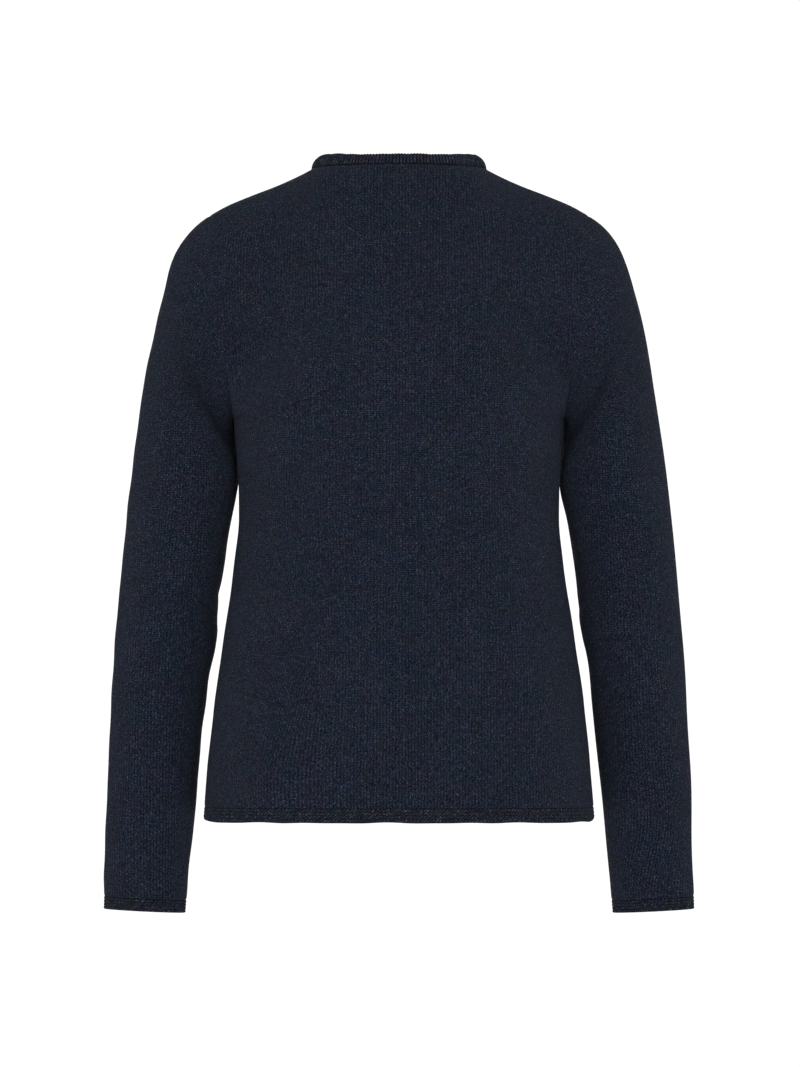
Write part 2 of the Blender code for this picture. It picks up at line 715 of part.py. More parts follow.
def add_neckband(seam, normals, material):
    direction = neckband_direction(seam)
    outward = unit(np.cross(unit(np.gradient(seam, axis=0)), direction))
    outward *= np.sign(np.sum(outward * normals, axis=1, keepdims=True))
    outward[:, 0] *= 1 - beside_front_bands(seam)
    outward = unit(outward)
    places = neckband_places(seam)
    base, up = along_line(seam + direction * 2 * SEAM_SHIFT, places), along_line(direction, places)
    for end, way in ((0, 1), (-1, -1)):
        base[end, 0] += way * SEAM_SHIFT
    out = along_line(outward, places)
    length = np.concatenate([[0.0], np.cumsum(np.linalg.norm(np.diff(base, axis=0), axis=1))])
    top = (NECKBAND_WIDTH - SCALLOP_HEIGHT + scallops(length))[:, None]
    crest = (np.arange(len(places)) % 2 == 1)[:, None] * RIB_HEIGHT
    outer = np.array([
        base,
        base + up * RIB_START * NECKBAND_WIDTH + out * crest,
        base + up * top + out * (crest - EDGE_TURN),
    ])
    stops = np.flatnonzero(np.isclose(places, np.round(places)))
    inner = np.array([
        base - unit(along_line(normals, places)) * WALL,
        base + up * (top - EDGE_TURN) - out * (WALL + EDGE_TURN),
    ])[:, stops]
    mesh = wall_mesh(outer, inner, (0, len(outer) - 1), stops, False)
    return add_object("neckband", mesh, material)


# ---- Front bands and buttons -----------------------------------------------------


def front_line(hem, panel):
    """Points up the front opening's edge, from the hem's edge to the neckband's top."""
    seam = panel[-1]
    lift = neckband_direction(seam)[0]
    line = np.concatenate([hem[:1, 0], panel[:, 0], [seam[0] + lift * NECKBAND_WIDTH]])
    line[:, 0] = BAND_HALF_WIDTH
    return line


def band_grid(name, line):
    """A strip up the front, as wide as the opening. Seen from the front, columns run to
    the right, towards the wearer's left."""
    grid = Grid(name, np.stack([mirrored(line), line], axis=1))
    square_edge(grid, 0)
    square_edge(grid, -1)
    return grid


def add_buttons(line, lift, material):
    """Buttons spaced evenly up the middle of the bands. Each is square to the band's
    chord behind it and clears the highest point there by lift."""
    lengths = np.concatenate([[0.0], np.cumsum(np.linalg.norm(np.diff(line, axis=0), axis=1))])
    lowest = np.interp(BOTTOM_BUTTON_Z, line[:, 2], lengths)
    places = np.linspace(lengths[-1] - TOP_BUTTON_DROP, lowest, BUTTON_COUNT)
    for number, place in enumerate(places, start=1):
        behind = place + np.linspace(-BUTTON_RADIUS, BUTTON_RADIUS, BUTTON_SIDES)
        chord = np.stack([np.interp(behind, lengths, line[:, k]) for k in range(3)], axis=1)
        chord[:, 0] = 0.0
        normal = unit(np.cross(np.array([1.0, 0.0, 0.0]), chord[-1] - chord[0]))
        middle = (chord[0] + chord[-1]) / 2
        bulge = np.max((chord - middle) @ normal)
        add_button(f"button_{number}", middle + normal * (bulge + lift), normal, material)


def add_button(name, seat, normal, material):
    """A turned button with a raised rim and a dished middle, its back at the seat."""
    mesh = bmesh.new()
    verts = [mesh.verts.new((x * BUTTON_RADIUS, 0.0, z * BUTTON_THICKNESS)) for x, z in BUTTON_PROFILE]
    for a, b in zip(verts, verts[1:]):
        mesh.edges.new((a, b))
    button = add_object(name, mesh, material)
    turn = button.modifiers.new("turn", "SCREW")
    turn.steps = turn.render_steps = BUTTON_SIDES
    turn.use_merge_vertices = True
    turn.merge_threshold = 0.00005
    z_axis = unit(normal)
    x_axis = np.array([1.0, 0.0, 0.0])
    y_axis = np.cross(z_axis, x_axis)
    turned = Matrix(np.stack([x_axis, y_axis, z_axis], axis=1).tolist()).to_4x4()
    button.matrix_world = Matrix.Translation(seat.tolist()) @ turned
    return button


# ---- The whole garment -----------------------------------------------------------


def make_material(recipe):
    name, colour, roughness, metallic = recipe
    material = bpy.data.materials.new(name)
    material.use_nodes = True
    shader = material.node_tree.nodes["Principled BSDF"]
    shader.inputs["Base Color"].default_value = colour
    shader.inputs["Roughness"].default_value = roughness
    shader.inputs["Metallic"].default_value = metallic
    material.diffuse_color = colour
    return material


def clear_scene():
    for existing in list(bpy.data.objects):
        bpy.data.objects.remove(existing, do_unlink=True)
    collection = bpy.data.collections.new("cardigan")
    bpy.context.scene.collection.children.link(collection)


def body_folds(grid):
    rows, columns = grid.points.shape[:2]
    height = fold_height(grid.name, grid.points[..., 0], grid.points[..., 2])
    return height * fade_at_edges(rows, columns, False)


def sleeve_folds(grid):
    rows, columns = grid.points.shape[:2]
    lengths = np.linalg.norm(grid.points - np.roll(grid.points, 1, axis=1), axis=-1)
    girth = lengths.sum(axis=1, keepdims=True)
    total = np.zeros((rows, columns))
    angles = ring_angles() if grid.name == "left_sleeve" else ring_angles()[::-1]
    for row in FOLDS:
        fold = dict(zip(FOLD_COLUMNS, row))
        if fold["piece"] != grid.name:
            continue
        angle = np.degrees(angles) - fold["x"]
        away = (angle + 180) % 360 - 180
        across = away[None, :] / 360 * girth
        turn = np.radians(fold["turn"])
        up = grid.points[..., 2] - fold["z"]
        along = across * np.cos(turn) + up * np.sin(turn)
        beside = up * np.cos(turn) - across * np.sin(turn)
        fade = np.exp(-((along / fold["length"]) ** 4) - (beside / fold["width"]) ** 2)
        total += fold["depth"] * fade
    return total * fade_at_edges(rows, columns, True)


def main():
    clear_scene()
    knit = make_material(KNIT)
    band_knit = make_material(BAND_KNIT)
    button_material = make_material(BUTTON)

    back = Grid("back", whole_back(half_panel(BACK, 0.0)))
    left_half = half_panel(FRONT, BAND_HALF_WIDTH)
    left_front = Grid("left_front", left_half)
    right_front = Grid("right_front", turned_round(mirrored(left_half)))

    back_hem = Grid("back_hem_band", whole_back(hem_rows(BACK, 0.0)))
    left_hem_half = hem_rows(FRONT, BAND_HALF_WIDTH)
    left_hem = Grid("left_front_hem_band", left_hem_half)
    right_hem = Grid("right_front_hem_band", turned_round(mirrored(left_hem_half)))

    sleeve, cuff = sleeve_rings()
    sleeve, cuff = sleeve[::-1], cuff[::-1]
    sleeves = [
        Grid("left_sleeve", sleeve, closed=True),
        Grid("right_sleeve", mirrored(turned_round(sleeve)), closed=True),
    ]
    cuffs = [
        Grid("left_cuff_band", cuff, closed=True),
        Grid("right_cuff_band", mirrored(turned_round(cuff)), closed=True),
    ]
    share_normals([back, left_front, right_front, back_hem, left_hem, right_hem, *sleeves, *cuffs])
    for grid, opening in ((left_front, 0), (left_hem, 0), (right_front, -1), (right_hem, -1)):
        square_edge(grid, opening)

    for grid in (back, left_front, right_front):
        add_panel(grid, ("low", "high", "left", "right"), knit, body_folds(grid))
    for grid in (back_hem, left_hem, right_hem):
        add_ridged_band(grid, ("high", "left", "right"), band_knit)
    for grid in sleeves:
        add_panel(grid, ("low", "high"), knit, sleeve_folds(grid))
    for grid in cuffs:
        add_ridged_band(grid, ("high",), band_knit)

    add_neckband(*neck_seam(back, left_front, right_front), band_knit)

    line = front_line(left_hem.points, left_front.points)
    for name, level in (("button_band", 0.0), ("buttonhole_band", WALL + SEAM_GAP)):
        grid = band_grid(name, line)
        add_panel(grid, ("left", "right"), band_knit, np.full(grid.points.shape[:2], level))
    add_buttons(line, WALL + 2 * SEAM_GAP, button_material)


main()
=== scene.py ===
"""Looks of a fine-knit navy cardigan, filled out as if worn and empty inside.

Metres, +Z up. The front faces -Y, and +X is the wearer's left. The origin lies midway
between the two side-neck points.

The knit panels take up the form of the solids again, with many more points, so that
creases, seams, ribs and the stitches of the bands are real relief. The stitches of the
panels are bump and colour, worked out from places counted in wales and courses.
"""

import bmesh
import bpy
import numpy as np
from mathutils import Matrix, Vector


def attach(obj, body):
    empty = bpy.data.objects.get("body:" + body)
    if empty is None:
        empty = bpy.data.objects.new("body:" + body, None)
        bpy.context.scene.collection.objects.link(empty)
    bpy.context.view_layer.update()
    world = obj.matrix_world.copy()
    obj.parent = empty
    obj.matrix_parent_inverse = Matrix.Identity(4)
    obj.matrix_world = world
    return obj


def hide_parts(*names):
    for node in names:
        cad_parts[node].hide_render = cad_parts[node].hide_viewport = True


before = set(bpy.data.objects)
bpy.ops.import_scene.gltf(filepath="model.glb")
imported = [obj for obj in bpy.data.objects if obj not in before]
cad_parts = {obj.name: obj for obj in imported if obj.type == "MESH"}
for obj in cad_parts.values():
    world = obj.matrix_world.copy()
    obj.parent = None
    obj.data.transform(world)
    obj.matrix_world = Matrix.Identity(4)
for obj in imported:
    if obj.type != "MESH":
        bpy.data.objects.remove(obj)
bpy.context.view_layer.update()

# ---- Sizes of the garment, as in its solids ----

WALL = 0.002  # thickness of the knit
SEAM_GAP = 0.0003  # between stacked pieces
SEAM_SHIFT = 0.000002  # by which each side of a seam draws back, too little to see through

NECK_HALF_WIDTH = 0.0795
BACK_NECK_REACH = 0.062
FRONT_NECK_REACH = 0.030
FRONT_NECK_DROP = 0.075
NECK_ROUNDNESS = 0.75
NECK_MIDDLE_Y = -0.010

UNDERARM_Z = -0.226
ARMHOLE_HALF_DEPTH = 0.058
CHEST_SQUARENESS = 2.3
BACK_FULLNESS = 0.119
FRONT_FULLNESS = 0.127
# Shares of the way from the underarm to the top: chest and armhole shape the form up to
# the first two, and the neck from the third.
CHEST_ZONE, ARMHOLE_ZONE, NECK_ZONE = 0.4, 0.5, 0.6
EDGE_STEEPNESS = 14.0
NECK_CURVE_LOW, NECK_CURVE_HIGH = 2.0, 0.5
SHOULDER_ROUNDING = 0.5

BAND_HALF_WIDTH = 0.011
NECKBAND_WIDTH = 0.0148
NECKBAND_LEAN = 0.70
NECKBAND_BULGE = 0.0020  # outward, half way up the band
NECK_SIDE_START = 0.035  # x from which the band stands up more and is wider
NECK_SIDE_UPRIGHT = 0.15
NECK_SIDE_WIDENING = 0.0010
SCALLOP_PITCH = 0.0173
SCALLOP_HEIGHT = 0.0006
SCALLOP_FULLNESS = 0.7
SCALLOP_SHIFT, SHIFT_LENGTH = 0.0045, 0.110  # of the uneven scallops
SCALLOP_UNEVENNESS, UNEVEN_LENGTH = 0.5, 0.083
STRAIGHTENED = 0.035  # beside the front bands, where the neckband loses its sideways lean

HEM_Z = -0.5865
HEM_BAND = 0.0128
BODY_CLEARANCE = 0.0014
CONTACT_SOFTNESS = 0.0008
CONTACT_REACH = 5 * BODY_CLEARANCE

LIFT = WALL + SEAM_GAP  # of the buttonhole band over the button band
TURN_UP = 0.0035  # width over which the buttonhole band climbs from its seam
UNDERLAP = 0.0042  # how much narrower the button band is than the opening

BUTTON_COUNT = 7
BUTTON_RADIUS = 0.0065
BUTTON_THICKNESS = 0.0026
TOP_BUTTON_DROP = 0.009
BOTTOM_BUTTON_Z = -0.548

BODY_COLUMNS = ("z", "half_width", "back", "front", "squareness")
BODY = (
    (-0.2260, 0.1488, 0.1190, 0.1270, 2.30),
    (-0.2574, 0.1462, 0.1175, 0.1265, 2.32),
    (-0.2871, 0.1444, 0.1150, 0.1250, 2.35),
    (-0.3150, 0.1441, 0.1125, 0.1230, 2.37),
    (-0.3520, 0.1475, 0.1105, 0.1215, 2.40),
    (-0.4330, 0.1592, 0.1110, 0.1210, 2.50),
    (-0.4780, 0.1654, 0.1130, 0.1220, 2.58),
    (-0.5230, 0.1703, 0.1155, 0.1235, 2.66),
    (-0.5865, 0.1759, 0.1190, 0.1260, 2.75),
)
SHOULDER_COLUMNS = ("x", "z")
SHOULDER = (
    (0.0795, 0.0000),
    (0.0891, -0.0050),
    (0.1098, -0.0144),
    (0.1332, -0.0234),
    (0.1548, -0.0324),
    (0.1710, -0.0414),
)
SLEEVE_COLUMNS = (
    "outer_x", "outer_y", "outer_z", "inner_x", "inner_y", "inner_z", "depth", "squareness"
)
SLEEVE = (
    (0.1710, 0.0000, -0.0414, 0.1488, 0.0000, -0.2260, 0.0580, 2.0),
    (0.1830, -0.0025, -0.0502, 0.1490, -0.0050, -0.2292, 0.0574, 2.0),
    (0.1935, -0.0050, -0.0628, 0.1486, -0.0100, -0.2330, 0.0568, 2.0),
    (0.2020, -0.0080, -0.0810, 0.1480, -0.0150, -0.2385, 0.0562, 2.0),
    (0.2112, -0.0110, -0.1080, 0.1470, -0.0200, -0.2455, 0.0556, 2.1),
    (0.2201, -0.0135, -0.1390, 0.1458, -0.0240, -0.2545, 0.0552, 2.3),
    (0.2270, -0.0155, -0.1710, 0.1449, -0.0265, -0.2645, 0.0550, 2.5),
    (0.2324, -0.0170, -0.2040, 0.1446, -0.0280, -0.2760, 0.0548, 2.7),
    (0.2378, -0.0182, -0.2420, 0.1474, -0.0285, -0.2920, 0.0543, 2.7),
    (0.2432, -0.0195, -0.2850, 0.1526, -0.0288, -0.3150, 0.0532, 2.5),
    (0.2481, -0.0212, -0.3300, 0.1575, -0.0292, -0.3490, 0.0514, 2.3),
    (0.2534, -0.0238, -0.3850, 0.1640, -0.0306, -0.3970, 0.0487, 2.1),
    (0.2578, -0.0274, -0.4390, 0.1703, -0.0332, -0.4470, 0.0456, 2.0),
    (0.2615, -0.0325, -0.4950, 0.1772, -0.0375, -0.5010, 0.0421, 2.0),
    (0.2647, -0.0395, -0.5560, 0.1836, -0.0438, -0.5610, 0.0384, 2.0),
    (0.2669, -0.0478, -0.6180, 0.1895, -0.0512, -0.6225, 0.0348, 2.0),
    (0.2679, -0.0533, -0.6556, 0.1930, -0.0560, -0.6594, 0.0328, 2.0),
    (0.2683, -0.0549, -0.6671, 0.1940, -0.0575, -0.6709, 0.0323, 2.0),
)
CUFF_RING = 16
SLEEVE_TURN = 4.57  # rows of the table over which rings turn square to the sleeve and back

# Soft creases of each piece, the large folds of its solid first. On the body x and z are
# the place. On a sleeve x is the angle round it in degrees, from its outer point over the
# back. turn is the direction in degrees from level, depth outward.
FOLD_COLUMNS = ("x", "z", "turn", "length", "width", "depth")
FOLDS = {
    "back": (
        (0.122, -0.500, -52, 0.060, 0.0200, 0.0026),
        (0.094, -0.475, -45, 0.050, 0.0190, -0.0018),
        (-0.098, -0.165, 38, 0.050, 0.0190, 0.0024),
        (-0.080, -0.208, 32, 0.045, 0.0190, -0.0020),
        (0.092, -0.205, -40, 0.045, 0.0190, 0.0018),
        (-0.125, -0.480, 58, 0.060, 0.0200, 0.0020),
        (0.020, -0.345, -8, 0.075, 0.0260, -0.0018),
        (0.138, -0.545, -60, 0.032, 0.0075, -0.0011),
        (0.108, -0.528, -48, 0.040, 0.0085, 0.0010),
        (0.150, -0.455, -70, 0.035, 0.0080, 0.0009),
        (0.070, -0.512, -36, 0.030, 0.0090, -0.0007),
        (-0.132, -0.540, 62, 0.028, 0.0080, -0.0010),
        (-0.146, -0.430, 74, 0.030, 0.0075, 0.0008),
        (-0.118, -0.190, 44, 0.026, 0.0070, -0.0010),
        (-0.060, -0.240, 26, 0.034, 0.0085, 0.0008),
        (0.122, -0.196, -46, 0.028, 0.0070, -0.0010),
        (0.064, -0.236, -28, 0.030, 0.0080, 0.0007),
        (-0.045, -0.330, 10, 0.045, 0.0100, 0.0008),
        (0.078, -0.330, -14, 0.036, 0.0090, 0.0009),
    ),
    "left_front": (
        (0.085, -0.178, -38, 0.045, 0.0190, 0.0024),
        (0.112, -0.480, 55, 0.060, 0.0200, -0.0022),
        (0.108, -0.205, -48, 0.026, 0.0070, -0.0011),
        (0.060, -0.215, -30, 0.030, 0.0080, 0.0009),
        (0.130, -0.330, -20, 0.030, 0.0080, 0.0008),
        (0.090, -0.530, 52, 0.034, 0.0085, 0.0010),
        (0.040, -0.360, 12, 0.028, 0.0090, -0.0007),
    ),
    "right_front": (
        (-0.084, -0.190, 36, 0.045, 0.0190, 0.0024),
        (-0.118, -0.500, -50, 0.055, 0.0200, 0.0022),
        (-0.110, -0.212, 46, 0.026, 0.0070, -0.0011),
        (-0.062, -0.222, 30, 0.028, 0.0080, 0.0008),
        (-0.128, -0.345, 22, 0.030, 0.0080, 0.0009),
        (-0.092, -0.540, -46, 0.030, 0.0080, -0.0010),
        (-0.042, -0.385, -10, 0.030, 0.0090, 0.0007),
    ),
    "left_sleeve": (
        (115, -0.310, 20, 0.045, 0.0190, -0.0018),
        (150, -0.430, 12, 0.045, 0.0190, 0.0020),
        (235, -0.465, -12, 0.045, 0.0190, -0.0024),
        (130, -0.345, 26, 0.026, 0.0070, 0.0011),
        (165, -0.385, 18, 0.024, 0.0065, -0.0012),
        (200, -0.420, -16, 0.026, 0.0070, 0.0010),
        (120, -0.520, 10, 0.024, 0.0075, -0.0008),
        (75, -0.590, -12, 0.022, 0.0080, 0.0007),
        (285, -0.200, -34, 0.028, 0.0080, 0.0010),
        (300, -0.400, -20, 0.026, 0.0080, 0.0008),
    ),
    "right_sleeve": (
        (110, -0.320, 20, 0.045, 0.0190, -0.0018),
        (145, -0.410, 16, 0.045, 0.0190, 0.0020),
        (230, -0.455, -14, 0.045, 0.0190, -0.0024),
        (126, -0.355, 24, 0.028, 0.0070, 0.0010),
        (160, -0.398, 14, 0.024, 0.0065, -0.0011),
        (205, -0.430, -18, 0.024, 0.0070, 0.0010),
        (112, -0.500, 12, 0.026, 0.0075, -0.0009),
        (80, -0.570, -10, 0.024, 0.0080, 0.0008),
        (282, -0.210, -30, 0.026, 0.0080, 0.0009),
        (305, -0.390, -22, 0.026, 0.0080, 0.0009),
    ),
}
# Where the worn cloth drags its stitches askew: the place as for creases, the size of the
# patch, and in degrees how far wales lean and courses climb to the right.
DRAG_COLUMNS = ("x", "z", "width", "height", "wales", "courses")
DRAGS = {
    "back": (
        (0.122, -0.490, 0.045, 0.090, 21, 0),
        (0.090, -0.110, 0.060, 0.060, 0, 7),
        (-0.090, -0.110, 0.060, 0.060, 0, -9),
    ),
    "left_front": ((0.112, -0.480, 0.045, 0.080, -14, 0),),
    "right_front": ((-0.118, -0.500, 0.045, 0.080, 12, 0),),
    "left_sleeve": ((90, -0.180, 0.050, 0.070, 0, 8),),
    "right_sleeve": (
        (90, -0.180, 0.050, 0.070, 0, -12),
        (90, -0.620, 0.050, 0.050, 14, 0),
    ),
}
FOLD_FADE = 0.022  # from a seam, over which creases fade out
WAVES = 9  # soft waves of uneven cloth, added up
WAVE_HEIGHT = 0.00016
WAVE_LENGTHS = (0.035, 0.110)
SEAM_DIP = 0.0006  # depth to which the knit turns down at a seam
SEAM_DIP_WIDTH = 0.0016

# Counts of faces along and across the pieces.
NECK_FACES = 28
SHOULDER_FACES = 24
PANEL_FACES = NECK_FACES + SHOULDER_FACES
LOWER_ROWS = 92
ARMHOLE_ROWS = 52
SLEEVE_ROWS = 124
SEAM_SHARES = (0.28, 0.62)  # extra lines of points in the cells beside a seam
SHARP_ANGLE = 62.0
TURNED = (0, 3, 2, 1)  # the corners of a quad, the other way round
RING_LEAN = 0.5  # of the normals round a tube's end, away from its middle
SETTLING_ROUNDS, OWN_WEIGHT = 14, 4  # by which normals at seams ease into the others
FINE = 400  # points of a curve before it is spread evenly
POINT_KEY = 1e6  # points with the same whole micrometres are one
TINY = 1e-9
SEED = 11

# ---- Sizes of the stitches ----

WALE, COURSE = 0.0028, 0.00192  # width and height of a stitch on the body
SLEEVE_WALE, SLEEVE_COURSE = 0.0029, 0.00207
RIB_PITCH = 0.0030
RIB_DEPTH = 0.0009
RIB_LEAN = 0.17  # of the neckband's ribs, at its start
RIB_FULLNESS = 0.8
RIB_RISE, RIB_HEAD_START = 0.003, 0.0012  # over which ribs grow deep from the seam
RIB_STEPS = 6  # points across a rib
MOSS_STITCH, MOSS_ROWS = 0.00325, 4
MOSS_LEAN = 0.8  # share of a stitch that it leans over its height
MOSS_HEIGHT = 0.00055
MOSS_FULLNESS = 0.6
MOSS_STEPS = 5
BAND_STEPS = 6  # points down a row of stitches in a band
NECKBAND_ROWS, FRONT_BAND_ROWS = 10, 12  # of faces, from the seam to the free edge
ROLL_STEPS = 5  # points round a free edge
INSIDE_STEPS = 3
HEM_WAVES = (  # length, height and phase
    (0.061, 0.00025, 5.49),
    (0.038, 0.00015, 3.42),
    (0.103, 0.00021, 9.27),
)
HEM_ROUNDING, HEM_RISE = 0.0075, 0.0042  # of the hem's edge towards the side seams

BACK, FRONT = 1, -1
RIGHT = np.array([1.0, 0.0, 0.0])
UP = np.array([0.0, 0.0, 1.0])

# ---- Buttons and buttonholes ----

BUTTON_SIDES = 48
BUTTON_PROFILE = (
    (0.00, 0.58),
    (0.40, 0.60),
    (0.58, 0.66),
    (0.66, 0.86),
    (0.74, 0.98),
    (0.84, 1.00),
    (0.93, 0.92),
    (0.99, 0.74),
    (1.00, 0.52),
    (0.96, 0.26),
    (0.86, 0.06),
    (0.76, 0.00),
    (0.00, 0.00),
)
BUTTON_SHARP_ANGLE = 40.0
SEAT_POINTS = 15  # along the band, under a button
MERGE_DISTANCE = 0.00002
HOLE_PLACE = 0.0015  # from the button's middle, along x and y
HOLE_PLACES = (-HOLE_PLACE, HOLE_PLACE)
HOLE_RADIUS = 0.0007
HOLE_SIDES = 16
THREAD_RADIUS = 0.00028
THREAD_ANGLES = np.linspace(0, 2 * np.pi, 8, endpoint=False)
THREAD_TWIST = 0.01  # keeps a thread's sides apart where it runs straight up
THREAD_SEAT = 0.60  # of the button's thickness
THREAD_START = 0.35  # of that height, where the threads come out of the holes
THREAD_REACH = 1.05  # of the holes' places
THREAD_BOW = 0.35  # the lower, the sooner a thread is at its full height
THREAD_SPREAD = 1.1 * THREAD_RADIUS
THREAD_LOOSENESS = 1.3 * THREAD_RADIUS
THREAD_STEPS = 10
HOLE_LENGTH = 0.0150
HOLE_WIDTH = 0.0011
HOLE_SHIFT = 0.0016  # of the buttonhole from the button's middle, towards the free edge
HOLE_SQUARENESS = 1.35  # above 1 it squares off a buttonhole's ends
PURLS = 64  # stitches round a buttonhole
PURL_REACH = 1.6
PURL_FATNESS = (1.0, 1.45)  # of the thread, stitch by stitch

# ---- Colours, light and shade of the materials ----

# The yarn: colours of its darkest fibres, of most of them in two hues and of its light ones.
YARN_DARK = (0.0024, 0.0036, 0.0094, 1.0)
YARN_TEAL = (0.0069, 0.0136, 0.0239, 1.0)
YARN_PURPLE = (0.0117, 0.0118, 0.0243, 1.0)
YARN_LIGHT = (0.0350, 0.0440, 0.0670, 1.0)
YARN_SPECK = (0.0700, 0.0830, 0.1150, 1.0)
BAND_TINT = (1.24, 1.12, 1.00, 1.0)
SHEEN_BLUE = (0.75, 0.82, 1.0, 1.0)
RESIN_DARK, RESIN_LIGHT = (0.0080, 0.0098, 0.0150, 1.0), (0.0200, 0.0240, 0.0350, 1.0)
THREAD_DARK, THREAD_LIGHT = (0.0060, 0.0075, 0.0120, 1.0), (0.0260, 0.0310, 0.0440, 1.0)
FLOOR_GREY, FLOOR_PALE = (0.90, 0.90, 0.90, 1.0), (0.94, 0.94, 0.94, 1.0)
FLOOR_GLOW = 0.55
WHITE = (1.0, 1.0, 1.0, 1.0)
# Noise, by its scale to the metre: of the yarn's path, its colours and its fibres, then
# of buttons, their thread and the floor.
WOBBLE_SCALE, HUE_SCALE, PATCH_SCALE, BLUE_SCALE = 150.0, 56.0, 14.0, 71.0
FIBRE_SCALE, GRAIN_SCALE, TUFT_SCALE = 2600.0, 1300.0, 760.0
SWIRL_SCALE, GLOSS_SCALE, SCRATCH_SCALE = 160.0, 900.0, 1400.0
TWIST_SCALE, FLOOR_SCALE = 2400.0, 6.0
WALE_WOBBLE, COURSE_WOBBLE = 0.4, 0.3
# Shares by which fibres, legs and streaks of yarn make its lightness.
GRAIN_SHARE, TUFT_SHARE, LEG_SHARE, FIBRE_SHARE, STREAK_SHARE = 0.72, 0.08, 0.10, 0.34, 0.06
DARKENING = 0.11
STREAK_SHORTNESS, COURSE_STEP = 0.22, 7.3  # steps in the streaks' noise to a wale and a course
SPECK_COLUMNS, SPECK_ROWS, SPECK_SHIFT = 4.0, 3.0, 0.37  # to a stitch
SHEEN, SHEEN_ROUGHNESS = 0.040, 0.40
LEG_RISE = 1.6  # courses that a stitch's leg climbs over a whole wale
LEG_ROUNDNESS, GAP_ROUNDNESS = 0.7, 0.6
MEETING_DIP = 0.6  # share of a gap's depth that is there only where legs meet or wales part
PURL_WAVE, PURL_ROUNDNESS = 0.2, 0.7
CHAIN_RISE, CHAIN_ROUNDNESS, CHAIN_DEPTH = 0.4, 0.5, 0.4  # of the stitches on a rib
STITCH_HEIGHT = 0.0006
FIBRE_HEIGHT = 0.00012
SCRATCH_DEPTH, TWIST_HEIGHT = 0.00002, 0.0001
# Shares of light by which wales and courses stand out, high and low on the garment.
WALE_SHADE, LOW_WALE_SHADE = 0.21, 0.44
COURSE_SHADE, LOW_COURSE_SHADE = 0.62, 0.16
HIGH_Z, LOW_Z = -0.30, -0.60
# Ramps: the ends of a value's range, then those of what it makes, 0 and 1 if not named.
# From the height of a stitch to the light on it.
PLAIN_LIGHT, PURL_LIGHT = (0.0, 0.5, 0.6, 1.0), (0.0, 0.8, 0.5, 1.0)
RIB_LIGHT, MOSS_LIGHT = (0.0, 0.7, 0.24, 1.32), (0.0, 0.7, 0.36, 1.05)
# From the rows beside a seam to the light there.
RIB_SEAM_LIGHT, MOSS_SEAM_LIGHT = (0.1, 1.0, 0.15, 1.0), (0.0, 0.4, 0.4, 1.0)
# From noise or from the yarn's lightness to shares of colour.
GRAIN_RAMP, TUFT_RAMP, HUE_RAMP = (0.32, 0.68), (0.30, 0.70), (0.36, 0.64)
DARK_RAMP, LIGHT_RAMP, SPECK_RAMP = (0.55, 0.10), (0.55, 1.00), (0.945, 1.00)
PATCH_RAMP, BLUE_RAMP = (0.3, 0.7, 0.96, 1.04), (0.35, 0.65, 0.93, 1.07)
SWIRL_RAMP, TWIST_RAMP = (0.35, 0.7), (0.3, 0.7)
WOOL_ROUGHNESS, RESIN_ROUGHNESS = (0.2, 0.8, 0.88, 0.98), (0.3, 0.7, 0.28, 0.42)

# ---- Studio ----

FLOOR_Z = -1.45  # under the feet of a small adult who wears the cardigan
FLOOR_SIZE = 18.0
PIXEL = 0.0009  # of the photograph, in the plane of the side seams
IMAGE_WIDTH, IMAGE_HEIGHT = 800, 1067
MIDDLE_PIXEL_X, SHOULDER_PIXEL_Y = 399, 169  # where the origin lies in the photograph
CAMERA_DISTANCE = 5.0
CAMERA_DROP = 0.17  # of the camera below the picture's middle
CAMERA_REACH = 200.0
SENSOR_WIDTH = 36.0
WORLD_LIGHT, WORLD_SEEN = 0.50, 1.08  # the pale studio as light, and behind the cardigan
LIGHT_TARGET = (0.0, 0.0, -0.33)
# name, place, size, power, colour
SOFTBOXES = (
    ("behind", (0.0, 6.0, 0.3), 4.5, 208.0, (1.0, 1.0, 1.0)),
    ("in_front", (0.0, -6.0, 0.3), 4.5, 208.0, (1.0, 1.0, 1.0)),
    ("left", (3.4, 1.0, 1.0), 2.0, 6.0, (1.0, 0.97, 0.88)),
    ("right", (-3.4, 1.0, 1.0), 2.0, 7.0, (1.0, 0.97, 0.88)),
)


# ---- Curves ----


def smooth_column(rows, columns, key, value, at):
    """The value column over the key column, along a smooth curve that never overshoots."""
    table = np.array(rows, float)
    x = table[:, columns.index(key)]
    y = table[:, columns.index(value)]
    if x[0] > x[-1]:
        x, y = x[::-1], y[::-1]
    return smooth_curve(x, y, at)


def smooth_curve(x, y, at):
    step = np.diff(x)
    slope = np.diff(y) / step
    tangent = np.zeros(len(x))
    tangent[0], tangent[-1] = slope[0], slope[-1]
    same_way = slope[1:] * slope[:-1] > 0
    near = 2 * step[1:] + step[:-1]
    far = step[1:] + 2 * step[:-1]
    with np.errstate(divide="ignore", invalid="ignore"):
        mean = (near + far) / (near / slope[:-1] + far / slope[1:])
    tangent[1:-1] = np.where(same_way, mean, 0.0)
    at = np.clip(at, x[0], x[-1])
    i = np.clip(np.searchsorted(x, at, side="right") - 1, 0, len(x) - 2)
    t = (at - x[i]) / step[i]
    rise = (2 * t**3 - 3 * t**2 + 1) * y[i] + (3 * t**2 - 2 * t**3) * y[i + 1]
    bend = (t**3 - 2 * t**2 + t) * tangent[i] + (t**3 - t**2) * tangent[i + 1]
    return rise + bend * step[i]


def ease(t):
    t = np.clip(t, 0.0, 1.0)
    return t * t * (3 - 2 * t)


def unit(vectors):
    lengths = np.linalg.norm(vectors, axis=-1, keepdims=True)
    return vectors / np.maximum(lengths, TINY)


def directions(line):
    """Unit vectors along a line of points."""
    return unit(np.gradient(line, axis=0))


